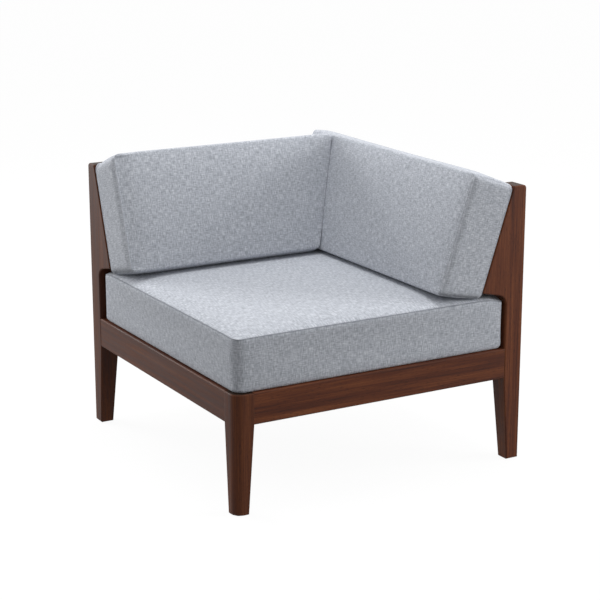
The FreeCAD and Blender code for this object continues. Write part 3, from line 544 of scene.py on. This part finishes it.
def nut_tree(name):
    """A hexagon nut along Z from the origin, chamfered at both ends and bored."""
    tree, given = new_tree(name, ("Corner Radius", "Height", "Bore"))
    middle = add(tree, MATH, {0: given["Height"], 1: 0.5}, operation="MULTIPLY")
    lift = add(tree, "ShaderNodeCombineXYZ", {2: middle})
    blank = add(tree, "GeometryNodeMeshCylinder", {
        "Vertices": 6, "Radius": given["Corner Radius"], "Depth": given["Height"],
    })
    barrel = add(tree, "GeometryNodeMeshCylinder", {
        "Vertices": 2 * SIDES, "Side Segments": 8,
        "Radius": given["Corner Radius"], "Depth": given["Height"],
    })
    place = add(tree, "GeometryNodeInputPosition")
    height = add(tree, "ShaderNodeSeparateXYZ", {0: place}).outputs[2]
    height = add(tree, MATH, {0: height}, operation="ABSOLUTE")
    share = add(tree, MATH, {0: height, 1: middle}, operation="DIVIDE")
    width = add(tree, "ShaderNodeMapRange", {
        0: share, 1: CHAMFER_START, 2: 1.0, 3: BARREL_WIDTH, 4: BARREL_END,
    })
    scale = add(tree, "ShaderNodeCombineXYZ", {0: width, 1: width, 2: 1.01})
    turned = add(tree, "ShaderNodeVectorMath", {0: place, 1: scale}, operation="MULTIPLY")
    barrel = add(tree, "GeometryNodeSetPosition", {"Geometry": barrel, "Position": turned})
    nut = add(tree, "GeometryNodeMeshBoolean", {"Mesh 2": blank}, operation="INTERSECT")
    tree.links.new(barrel.outputs[0], nut.inputs["Mesh 2"])
    long = add(tree, MATH, {0: given["Height"], 1: 2.0}, operation="MULTIPLY")
    bore = add(tree, "GeometryNodeMeshCylinder", {
        "Vertices": SIDES, "Radius": given["Bore"], "Depth": long,
    })
    nut = add(tree, "GeometryNodeMeshBoolean", {"Mesh 1": nut, "Mesh 2": bore},
              operation="DIFFERENCE")
    nut = add(tree, "GeometryNodeTransform", {"Geometry": nut, "Translation": lift})
    return set_out(tree, given, nut)


def disc_tree(name, operation):
    """A round pad along Z from the origin with eased edges, and a core that is cut or added: a
    washer's bore or a glide's stem."""
    tree, given = new_tree(name, ("Radius", "Thickness", "Easing", "Core Radius", "Core Length"))
    middle = add(tree, MATH, {0: given["Thickness"], 1: 0.5}, operation="MULTIPLY")
    disc = add(tree, "GeometryNodeMeshCylinder", {
        "Vertices": 2 * SIDES, "Side Segments": 6, "Radius": given["Radius"], "Depth": given["Thickness"],
    })
    place = add(tree, "GeometryNodeInputPosition")
    height = add(tree, "ShaderNodeSeparateXYZ", {0: place}).outputs[2]
    share = add(tree, MATH, {0: height, 1: middle}, operation="DIVIDE")
    share = add(tree, MATH, {0: share, 1: EASING_POWER}, operation="POWER")
    eased = add(tree, MATH, {0: given["Easing"], 1: given["Radius"]}, operation="DIVIDE")
    eased = add(tree, MATH, {0: eased, 1: share}, operation="MULTIPLY")
    width = add(tree, MATH, {0: 1.0, 1: eased}, operation="SUBTRACT")
    scale = add(tree, "ShaderNodeCombineXYZ", {0: width, 1: width, 2: 1.0})
    turned = add(tree, "ShaderNodeVectorMath", {0: place, 1: scale}, operation="MULTIPLY")
    lift = add(tree, "ShaderNodeCombineXYZ", {2: middle})
    turned = add(tree, "ShaderNodeVectorMath", {0: turned, 1: lift}, operation="ADD")
    disc = add(tree, "GeometryNodeSetPosition", {"Geometry": disc, "Position": turned})
    core = add(tree, "GeometryNodeMeshCylinder", {
        "Vertices": SIDES, "Radius": given["Core Radius"], "Depth": given["Core Length"],
    })
    stem = operation == "UNION"
    if stem:
        # A stem starts inside the pad
        half = add(tree, MATH, {0: given["Core Length"], 1: 0.5, 2: middle},
                   operation="MULTIPLY_ADD")
        lift = add(tree, "ShaderNodeCombineXYZ", {2: half})
    core = add(tree, "GeometryNodeTransform", {"Geometry": core, "Translation": lift})
    joined = add(tree, "GeometryNodeMeshBoolean", operation=operation)
    tree.links.new(disc.outputs[0], joined.inputs["Mesh 2" if stem else "Mesh 1"])
    tree.links.new(core.outputs[0], joined.inputs["Mesh 2"])
    return set_out(tree, given, joined)


def set_fasteners(node, tree, sizes, material, slot):
    """Runs a tree on the places of one node's fasteners, and lets the result stand for the node."""
    rows = [measure(points) for points in loose_parts(node)]
    places = bpy.data.meshes.new(node + "_places")
    places.from_pydata([tuple(row.start) for row in rows], [], [])
    axis = places.attributes.new("axis", "FLOAT_VECTOR", "POINT")
    axis.data.foreach_set("vector", np.array([row.axis for row in rows], np.float32).ravel())
    name = node + "_turned"
    piece = new_object(name, places)
    made = piece.modifiers.new("made", "NODES")
    made.node_group = tree
    inputs = {item.name: item.identifier for item in tree.interface.items_tree if item.in_out == "INPUT"}
    for size, value in sizes(rows[0]).items():
        made[inputs[size]] = float(value)
    made[inputs["Finish"]] = material
    mesh = apply_modifiers(piece, name)
    mesh.shade_smooth()
    mesh.set_sharp_from_angle(angle=math.radians(SHARP))
    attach(piece, "frame")
    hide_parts(node)


def make_hardware():
    zinc = zinc_plate("zinc_plated_steel"), "zinc_plated_steel"
    nylon = moulded_nylon("moulded_nylon"), "nylon_glide"
    screw = threaded_tree("countersunk_screw", True)
    for node in ("frame_screws", "slat_screws"):
        set_fasteners(node, screw, lambda row: {
            "Length": row.length, "Radius": ROUND * row.last, "Head Radius": ROUND * row.first,
            "Pitch": THREAD_PITCH[node], "Depth": THREAD_DEPTH[node],
            "Point Length": SCREW_POINT, "Point Radius": POINT_WIDTH * row.last,
        }, *zinc)
    set_fasteners("hanger_bolts", threaded_tree("hanger_bolt", False), lambda row: {
        "Length": row.length, "Radius": ROUND * row.last, "Head Radius": ROUND * row.last - BOLT_CHAMFER,
        "Pitch": THREAD_PITCH["hanger_bolts"], "Depth": THREAD_DEPTH["hanger_bolts"],
        "Point Length": BOLT_CHAMFER, "Point Radius": ROUND * row.last - BOLT_CHAMFER,
    }, *zinc)
    set_fasteners("bolt_nuts", nut_tree("hexagon_nut"), lambda row: {
        "Corner Radius": row.first, "Height": row.length, "Bore": NUT_BORE,
    }, *zinc)
    set_fasteners("bolt_washers", disc_tree("washer", "DIFFERENCE"), lambda row: {
        "Radius": ROUND * row.first, "Thickness": row.length, "Easing": WASHER_EASING,
        "Core Radius": WASHER_BORE, "Core Length": 3 * row.length,
    }, *zinc)
    set_fasteners("foot_glides", disc_tree("foot_glide", "UNION"), lambda row: {
        "Radius": ROUND * row.first, "Thickness": GLIDE_PAD, "Easing": GLIDE_EASING,
        "Core Radius": ROUND * row.last, "Core Length": row.length - GLIDE_PAD / 2,
    }, *nylon)


# Cushions

def crowded(count):
    """Places from 0 to 1 that crowd towards both ends, where the seams are."""
    t = np.linspace(0, 1, count + 1)
    return t - CROWDING * np.sin(2 * np.pi * t) / (2 * np.pi)


def travelled(path):
    """The distance along a path to each of its points."""
    return np.r_[0, np.cumsum(np.linalg.norm(np.diff(path, axis=0), axis=1))]


class Cushion:
    """A boxed cushion in the place of its CAD cover. a runs along it, b across it and level out
    from what it rests on; the far end lies in a plane with the given normal."""

    def __init__(self, name, along, up, out, far_normal, form):
        self.name = name
        self.form = form
        self.axes = np.array([along, up, out], float)
        cover = nodes[name + "_cover"].data
        points = np.array([v.co for v in cover.vertices]).reshape(-1, 3)
        local = points @ self.axes.T
        self.low, self.high = local.min(0), local.max(0)
        if form.flare_below > 0:
            # Flared sides are fullest at the front seam, where the cover is set in
            self.low[1] -= SEAM_INSET
            self.high[1] += SEAM_INSET
        self.low[1] += form.trim_low
        self.high[1] += form.trim_high
        self.far_normal = np.array(far_normal, float)
        facing = points @ self.far_normal
        self.far_offset = facing.max() if self.axes[0] @ self.far_normal > 0 else facing.min()
        self.rear = self.low[2] + SEAM_RISE
        self.front = self.high[2] - form.crown
        self.fold_start = self.front - form.fold
        self.columns = round((self.high[0] - self.low[0]) / GRID)
        self.rows = round((self.high[1] - self.low[1]) / GRID)

    def world(self, local):
        return np.asarray(local) @ self.axes

    def far_end(self, b, level):
        """Where the far end lies along the cushion."""
        across = b * (self.axes[1] @ self.far_normal)
        out = level * (self.axes[2] @ self.far_normal)
        return (self.far_offset - across - out) / (self.axes[0] @ self.far_normal)

    def long_sides(self, level):
        """The two long sides at a level, which flare out to the front."""
        left = 1 - (level - self.low[2]) / (self.front - self.low[2])
        return self.low[1] + self.form.flare_below * left, self.high[1] - self.form.flare_above * left

    def ring(self, level, inset, near_inset, far_inset, draw):
        """Points round the cushion at a level, from the middle of one rounded corner to the next."""
        low, high = self.long_sides(level)
        low, high = low + inset, high - inset
        far_inset = far_inset - self.form.far_trim
        corners = np.array([
            (self.low[0] + near_inset, low),
            (self.far_end(low, level) - far_inset, low),
            (self.far_end(high, level) - far_inset, high),
            (self.low[0] + near_inset, high),
        ])
        arcs = [self.corner_arc(i, corners[i - 1], corners[i], corners[(i + 1) % 4]) for i in range(4)]
        points = []
        for i in range(4):
            count = self.columns if i % 2 == 0 else self.rows
            path = np.vstack([arcs[i][len(arcs[i]) // 2:], arcs[(i + 1) % 4][:len(arcs[i]) // 2 + 1]])
            steps = travelled(path)
            share = crowded(count)[:-1]
            side = np.column_stack([np.interp(share * steps[-1], steps, path[:, k]) for k in (0, 1)])
            inward = corners[(i + 2) % 4] - corners[(i + 1) % 4]
            inward = inward / np.linalg.norm(inward)
            side += np.outer(draw * (1 - (2 * share - 1) ** 2), inward)
            points.append(side)
        points = np.vstack(points)
        return np.column_stack([points, np.full(len(points), level)])

    def corner_arc(self, number, before, corner, after):
        """Points on the arc that rounds one corner."""
        to_before = (before - corner) / np.linalg.norm(before - corner)
        to_after = (after - corner) / np.linalg.norm(after - corner)
        half = math.acos(np.clip(to_before @ to_after, -1, 1)) / 2
        bisector = (to_before + to_after) / np.linalg.norm(to_before + to_after)
        radius = self.form.corners[number]
        centre = corner + bisector * radius / math.sin(half)
        sweep = math.pi / 2 - half
        side = np.array([-bisector[1], bisector[0]])
        side = side if side @ to_after > 0 else -side
        angles = np.linspace(-sweep, sweep, ARC_POINTS)
        return centre + radius * (np.outer(np.sin(angles), side) - np.outer(np.cos(angles), bisector))

    def corner_sink(self, points):
        """How far each point is drawn down with the seam at the corners."""
        local = points @ self.axes.T
        low, high = self.long_sides(self.front)
        far = self.high[0] + self.form.far_trim
        corners = ((self.low[0], low), (far, low), (far, high), (self.low[0], high))
        share = np.clip((local[:, 2] - self.rear) / (self.front - self.rear), 0, 1)
        total = np.zeros(len(points))
        for corner, most in zip(corners, self.form.sink):
            away = np.linalg.norm(local[:, :2] - np.array(corner), axis=1)
            total += most * share * np.exp(-(away / SINK_REACH) ** 2)
        return total

    def patch(self, ring):
        """Points of a panel inside a ring, as a grid."""
        m, n = self.columns, self.rows
        s, t = crowded(m)[:, None, None], crowded(n)[None, :, None]
        closed = np.vstack([ring, ring[:1]])
        bottom = closed[:m + 1][:, None]
        right = closed[m:m + n + 1][None]
        top = closed[m + n:2 * m + n + 1][::-1][:, None]
        left = closed[2 * m + n:][::-1][None]
        flat = (1 - t) * bottom + t * top + (1 - s) * left + s * right
        flat = flat - (1 - s) * (1 - t) * bottom[0] - s * (1 - t) * bottom[-1]
        return flat - (1 - s) * t * top[0] - s * t * top[-1]

    def rings(self):
        """The rings of the cover: the rear edge's rounding, the boxing and the fold to the front."""
        form = self.form
        rear, boxing, fold = [], [], []
        for turn in np.linspace(0, math.pi / 2, REAR_ROWS, endpoint=False):
            left = 1 - math.sin(turn)
            inset = SEAM_INSET + (REAR_INSET - SEAM_INSET) * left
            near_inset = form.near_seam + (form.near_rear - form.near_seam) * left
            level = self.low[2] + SEAM_RISE * (1 - math.cos(turn))
            rear.append(self.ring(level, inset, near_inset, inset, 0))
        for t in crowded(BOXING_ROWS):
            swell = 1 - (2 * t - 1) ** 2
            level = self.rear + t * (self.fold_start - self.rear)
            boxing.append(self.ring(level, SEAM_INSET, form.near_seam, SEAM_INSET, SIDE_DRAW * swell))
        if form.fold > 0:
            for turn in np.linspace(0, math.pi / 2, FOLD_ROWS + 1)[1:]:
                level = self.fold_start + form.fold * math.sin(turn)
                inward = 1 - math.cos(turn)
                inset = SEAM_INSET + form.fold * inward
                near_inset = form.near_seam + form.near_fold * inward
                far_inset = SEAM_INSET + form.far_fold * inward
                fold.append(self.ring(level, inset, near_inset, far_inset, 0))
        return rear, boxing, fold

    def build(self):
        """The cover's mesh before it is filled: boxing, front panel and rear panel."""
        m, n = self.columns, self.rows
        around = 2 * (m + n)
        parts = self.rings()
        rings = parts[0] + parts[1] + parts[2]
        front = self.patch(rings[-1])[1:-1, 1:-1].reshape(-1, 3)
        rear = self.patch(rings[0])[1:-1, 1:-1].reshape(-1, 3)
        local = np.vstack(rings + [front, rear])

        ring_start = [k * around for k in range(len(rings))]
        front_start = len(rings) * around
        rear_start = front_start + len(front)

        def grid_index(i, j, edge, inner):
            if j == 0:
                return edge + i
            if i == m:
                return edge + m + j
            if j == n:
                return edge + m + n + (m - i)
            if i == 0:
                return edge + (2 * m + n + (n - j)) % around
            return inner + (i - 1) * (n - 1) + (j - 1)

        seam_ring = rings[len(parts[0]) + BOXING_ROWS]
        girth = travelled(np.vstack([seam_ring, seam_ring[:1]]))
        climb = travelled([ring[m // 2] for ring in rings])
        faces, cloth = [], []
        for k in range(len(rings) - 1):
            lower, upper = ring_start[k], ring_start[k + 1]
            low, high = climb[k], climb[k + 1]
            for i in range(around):
                j = (i + 1) % around
                faces.append((lower + i, lower + j, upper + j, upper + i))
                cloth.append(((girth[i], low), (girth[i + 1], low), (girth[i + 1], high), (girth[i], high)))
        for edge, inner, turn in ((ring_start[-1], front_start, 1), (0, rear_start, -1)):
            for i in range(m):
                for j in range(n):
                    corners = ((i, j), (i + 1, j), (i + 1, j + 1), (i, j + 1))[::turn]
                    face = [grid_index(p, q, edge, inner) for p, q in corners]
                    faces.append(face)
                    cloth.append([tuple(local[v][:2]) for v in face])

        mesh = bpy.data.meshes.new(self.name)
        mesh.from_pydata(self.world(local).tolist(), [], faces)
        weave = mesh.uv_layers.new(name="weave")
        weave.data.foreach_set("uv", np.array([uv for face in cloth for uv in face], np.float32).ravel())
        self.mark(mesh, parts, climb, girth[:-1], front, len(rear))
        if np.linalg.det(self.axes) < 0:
            mesh.flip_normals()
        return mesh

    def mark(self, mesh, parts, climb, girth, front, rear_count):
        """Stores on each point its distance from the nearest seam, its panel, its distance from where
        the cover is held in shape, and how far it bulges up or down with the long sides."""
        form = self.form
        m, n = self.columns, self.rows
        near = 2 * m + n
        total = girth[-1] + np.linalg.norm(parts[1][-1][0] - parts[1][-1][-1])
        to_near_end = np.minimum(np.abs(girth - girth[near]), np.minimum(girth, total - girth))
        on_near_end = np.arange(len(girth)) > near
        rear_rows, boxing_rows = len(parts[0]), len(parts[1])
        seam_climb = climb[rear_rows + boxing_rows - 1]
        layers = {"seam": [], "panel": [], "slack": [], "bulge": []}

        def store(seam, panel, slack, bulge):
            for name, values in zip(layers, (seam, panel, slack, bulge)):
                layers[name].append(np.broadcast_to(values, np.shape(seam)))

        for k, height in enumerate(climb):
            rise, left = height - climb[rear_rows], seam_climb - height
            if form.fold > 0:
                seam = np.where(on_near_end, np.minimum(to_near_end, abs(left)), to_near_end)
                seam = seam if k >= rear_rows else seam + NO_SEAM
            else:
                seam = np.full(len(girth), abs(left))
            slack, bulge = 0.0, 0.0
            if rear_rows <= k < rear_rows + boxing_rows:
                slack = min(rise, left)
                ring = parts[1][k - rear_rows]
                swell = 1 - (2 * rise / (rise + left) - 1) ** 2
                low, high = self.long_sides(ring[0][2])
                bulge = swell * (np.clip(1 - (high - ring[:, 1]) / BULGE_REACH, 0, 1) ** 2
                                 - np.clip(1 - (ring[:, 1] - low) / BULGE_REACH, 0, 1) ** 2)
                bulge *= 1 - BULGE_LOST * np.exp(-((ring[:, 0] - self.low[0]) / BULGE_FADE) ** 2)
            store(seam, 0.0 if k >= rear_rows else -1.0, slack, bulge)
        low, high = self.long_sides(self.front)
        to_near = front[:, 0] - self.low[0] - form.near_seam - form.near_fold
        far = self.far_end(front[:, 1], self.front) - SEAM_INSET - form.far_fold + form.far_trim
        to_far = far - front[:, 0]
        to_long = np.minimum(front[:, 1] - low, high - front[:, 1]) - SEAM_INSET - form.fold
        edge = np.minimum(np.minimum(to_near, to_far), to_long)
        store(to_near + form.near_fold if form.fold > 0 else edge, 1.0, np.maximum(edge, 2 * TOUCH), 0.0)
        store(np.full(rear_count, NO_SEAM), -1.0, 0.0, 0.0)
        for name, values in layers.items():
            layer = mesh.attributes.new(name, "FLOAT", "POINT")
            layer.data.foreach_set("value", np.concatenate(values).astype(np.float32))
        if form.fold == 0:
            crease = mesh.attributes.new("crease_edge", "FLOAT", "EDGE")
            last = (rear_rows + boxing_rows - 1) * len(girth)
            seam = range(last, last + len(girth))
            crease.data.foreach_set("value", [float(all(v in seam for v in e.vertices)) for e in mesh.edges])


def read_points(mesh):
    points = np.empty(len(mesh.vertices) * 3, np.float32)
    mesh.vertices.foreach_get("co", points)
    return points.reshape(-1, 3).astype(float)


def write_points(mesh, points):
    mesh.vertices.foreach_set("co", points.astype(np.float32).ravel())
    mesh.update()


def read_normals(mesh):
    return np.array([v.normal for v in mesh.vertices])


def read_layer(mesh, name):
    values = np.empty(len(mesh.vertices), np.float32)
    mesh.attributes[name].data.foreach_get("value", values)
    return values.astype(float)


def blown_up(piece):
    """Points of a cover that is filled under pressure, with its seams, folds and rear panel held."""
    held = np.where(read_layer(piece.data, "slack") < TOUCH)[0]
    group = piece.vertex_groups.new(name="held")
    group.add(held.tolist(), 1.0, "REPLACE")
    cloth = piece.modifiers.new("filling", "CLOTH")
    settings = cloth.settings
    settings.quality = 6
    settings.mass = 0.3
    settings.tension_stiffness = 12
    settings.compression_stiffness = 12
    settings.shear_stiffness = 6
    settings.bending_stiffness = 0.6
    settings.air_damping = 3
    settings.use_pressure = True
    settings.uniform_pressure_force = SIM_PRESSURE
    settings.effector_weights.gravity = 0
    settings.vertex_group_mass = "held"
    cloth.collision_settings.use_collision = False
    cloth.point_cache.frame_start = 1
    cloth.point_cache.frame_end = SIM_FRAMES
    for step in range(1, SIM_FRAMES + 1):
        scene.frame_set(step)
    done = piece.evaluated_get(bpy.context.evaluated_depsgraph_get()).to_mesh()
    points = read_points(done)
    piece.modifiers.remove(cloth)
    piece.vertex_groups.remove(group)
    scene.frame_set(1)
    return points


def fuller(length, fullness):
    """Scales for moves of these lengths that bring the longest to 1 and the rest nearer to it.
    A fullness of 1 keeps the simulated shape, and more makes a panel rise faster from its edges."""
    share = length / max(length.max(), TINY)
    return (1 - (1 - share) ** fullness) / np.maximum(length, TINY)


def sewn_cushion(cushion, material):
    """Cuts, fills and sews one cushion: the simulation gives the swell its shape, and the measured
    crown and seam inset give it its height."""
    form = cushion.form
    mesh = cushion.build()
    piece = new_object(cushion.name, mesh)
    start = read_points(mesh)
    panel = read_layer(mesh, "panel")
    move = blown_up(piece) - start
    length = np.linalg.norm(move, axis=1)
    for on_panel, most in ((panel > 0.5, form.crown + form.puff), (panel == 0, SEAM_INSET)):
        move[on_panel] *= fuller(length[on_panel], form.fullness)[:, None] * most
    bulge = np.outer(read_layer(mesh, "bulge") * form.bulge, cushion.axes[1])
    sink = np.outer(cushion.corner_sink(start), cushion.axes[2])
    write_points(mesh, start + move + bulge - sink)

    rounded = piece.modifiers.new("rounded", "SUBSURF")
    rounded.levels = rounded.render_levels = 1
    rounded.uv_smooth = "NONE"
    finer = apply_modifiers(piece, cushion.name)
    sew(finer, form)
    finer.materials.clear()
    finer.materials.append(material)
    finer.shade_smooth()
    return piece


def sew(mesh, form):
    """Draws the seams in: a narrow valley in the boxing and a wider one in the panel. Shade is painted
    along each sewn line, darkest on it, which the weave reads from the mesh."""
    seam = read_layer(mesh, "seam")
    reach = np.where(read_layer(mesh, "panel") > 0.5, form.panel_valley, form.boxing_valley)
    depth = form.valley * np.exp(-(seam / reach) ** 2)
    write_points(mesh, read_points(mesh) - read_normals(mesh) * depth[:, None])
    # Painted shade: darkest on the seam line and gone at its width
    painted_shade = form.painted_shade * np.clip(1 - seam / form.painted_shade_width, 0, 1)
    layer = mesh.attributes.new("painted_seam_shade", "FLOAT", "POINT")
    layer.data.foreach_set("value", painted_shade.astype(np.float32))


def rest_on(piece, support, toward):
    """Flattens a cushion where, on its way along a direction, it would sink into another."""
    surface = BVHTree.FromPolygons([v.co for v in support.data.vertices],
                                   [p.vertices for p in support.data.polygons])
    toward = Vector(toward)
    points = read_points(piece.data)
    for point in points:
        start = Vector(point) - toward * REST_REACH
        hit, _, _, distance = surface.ray_cast(start, toward)
        if hit is not None:
            point[:] = start + toward * min(REST_REACH, distance - REST_GAP)
    write_points(piece.data, points)


def make_cushions():
    lean = {joint["child"]: np.array(joint["axis"], float) for joint in frame["joints"]}
    x, y, z = np.eye(3)
    back_up = lean["back_cushion"] / np.linalg.norm(lean["back_cushion"])
    side_up = lean["side_cushion"] / np.linalg.norm(lean["side_cushion"])
    back_out = np.cross(x, back_up)
    side_out = np.cross(side_up, y)
    weave = melange_weave("melange_weave")
    cushions = (
        Cushion("seat_cushion", x, y, z, x, SEAT_FORM),
        Cushion("back_cushion", x, back_up, back_out, side_out, BACK_FORM),
        Cushion("side_cushion", y, side_up, side_out, back_out, SIDE_FORM),
    )
    pieces = {cushion.name: sewn_cushion(cushion, weave) for cushion in cushions}
    rest_on(pieces["back_cushion"], pieces["seat_cushion"], -z)
    rest_on(pieces["side_cushion"], pieces["seat_cushion"], -z)
    rest_on(pieces["back_cushion"], pieces["side_cushion"], x)
    for cushion in cushions:
        piece = pieces[cushion.name]
        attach(piece, cushion.name)
        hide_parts(cushion.name + "_cover", cushion.name + "_core")


# Floor, light and camera

def set_stage():
    """A pale floor that fades into a white surround but keeps the chair's shadow."""
    mesh = bpy.data.meshes.new("floor")
    corners = [(x * FLOOR_HALF, y * FLOOR_HALF, 0) for x, y in ((-1, -1), (1, -1), (1, 1), (-1, 1))]
    mesh.from_pydata(corners, [], [(0, 1, 2, 3)])
    floor = new_object("floor", mesh)
    material, tree = new_material("studio_floor")
    rays = add(tree, "ShaderNodeLightPath").outputs
    seen = add(tree, MATH, {0: rays["Is Camera Ray"], 1: rays["Is Glossy Ray"]},
               operation="MAXIMUM")
    share = add(tree, MATH, {0: seen, 1: FLOOR_WHITE_SHARE}, operation="MULTIPLY")
    tone = add(tree, "ShaderNodeMix", {0: seen, 6: linear(FLOOR_LIT), 7: linear(FLOOR_SEEN)},
               data_type="RGBA")
    matt = add(tree, "ShaderNodeBsdfDiffuse", {"Color": tone.outputs[2]})
    white = add(tree, "ShaderNodeEmission", {"Color": linear("#FFFFFF"), "Strength": FLOOR_WHITE})
    blend = add(tree, "ShaderNodeMixShader", {0: share, 1: matt, 2: white})
    add(tree, "ShaderNodeOutputMaterial", {"Surface": blend})
    mesh.materials.append(material)


def set_world():
    """Soft grey light from all round, seen as white."""
    world = bpy.data.worlds.new("studio")
    world.use_nodes = True
    scene.world = world
    tree = world.node_tree
    tree.nodes.clear()
    rays = add(tree, "ShaderNodeLightPath").outputs
    seen = add(tree, MATH, {0: rays["Is Camera Ray"], 1: rays["Is Glossy Ray"]},
               operation="MAXIMUM")
    seen = add(tree, MATH, {0: seen, 1: rays["Is Transmission Ray"]}, operation="MAXIMUM")
    strength = add(tree, "ShaderNodeMapRange", {0: seen, 3: WORLD_LIGHT, 4: WORLD_SEEN})
    light = add(tree, "ShaderNodeBackground", {"Color": linear("#FFFFFF"), "Strength": strength})
    add(tree, "ShaderNodeOutputWorld", {"Surface": light})


def set_aim(made, place, aim):
    """Sets a lamp or a camera at its place and turns it to its aim."""
    made.location = place
    made.rotation_mode = "QUATERNION"
    made.rotation_quaternion = (Vector(aim) - Vector(place)).to_track_quat("-Z", "Y")


def add_softbox(name, place, aim, size, power):
    lamp = bpy.data.lights.new(name, "AREA")
    lamp.shape = "SQUARE"
    lamp.size = size
    lamp.energy = power
    set_aim(new_object(name, lamp), place, aim)


def set_camera():
    data = bpy.data.cameras.new("camera")
    data.lens = CAMERA_LENS
    data.sensor_width = SENSOR
    camera = new_object("camera", data)
    set_aim(camera, CAMERA_PLACE, CAMERA_AIM)
    scene.camera = camera


finish_frame()
make_hardware()
make_cushions()
set_stage()
set_world()
for softbox in SOFTBOXES:
    add_softbox(*softbox)
set_camera()
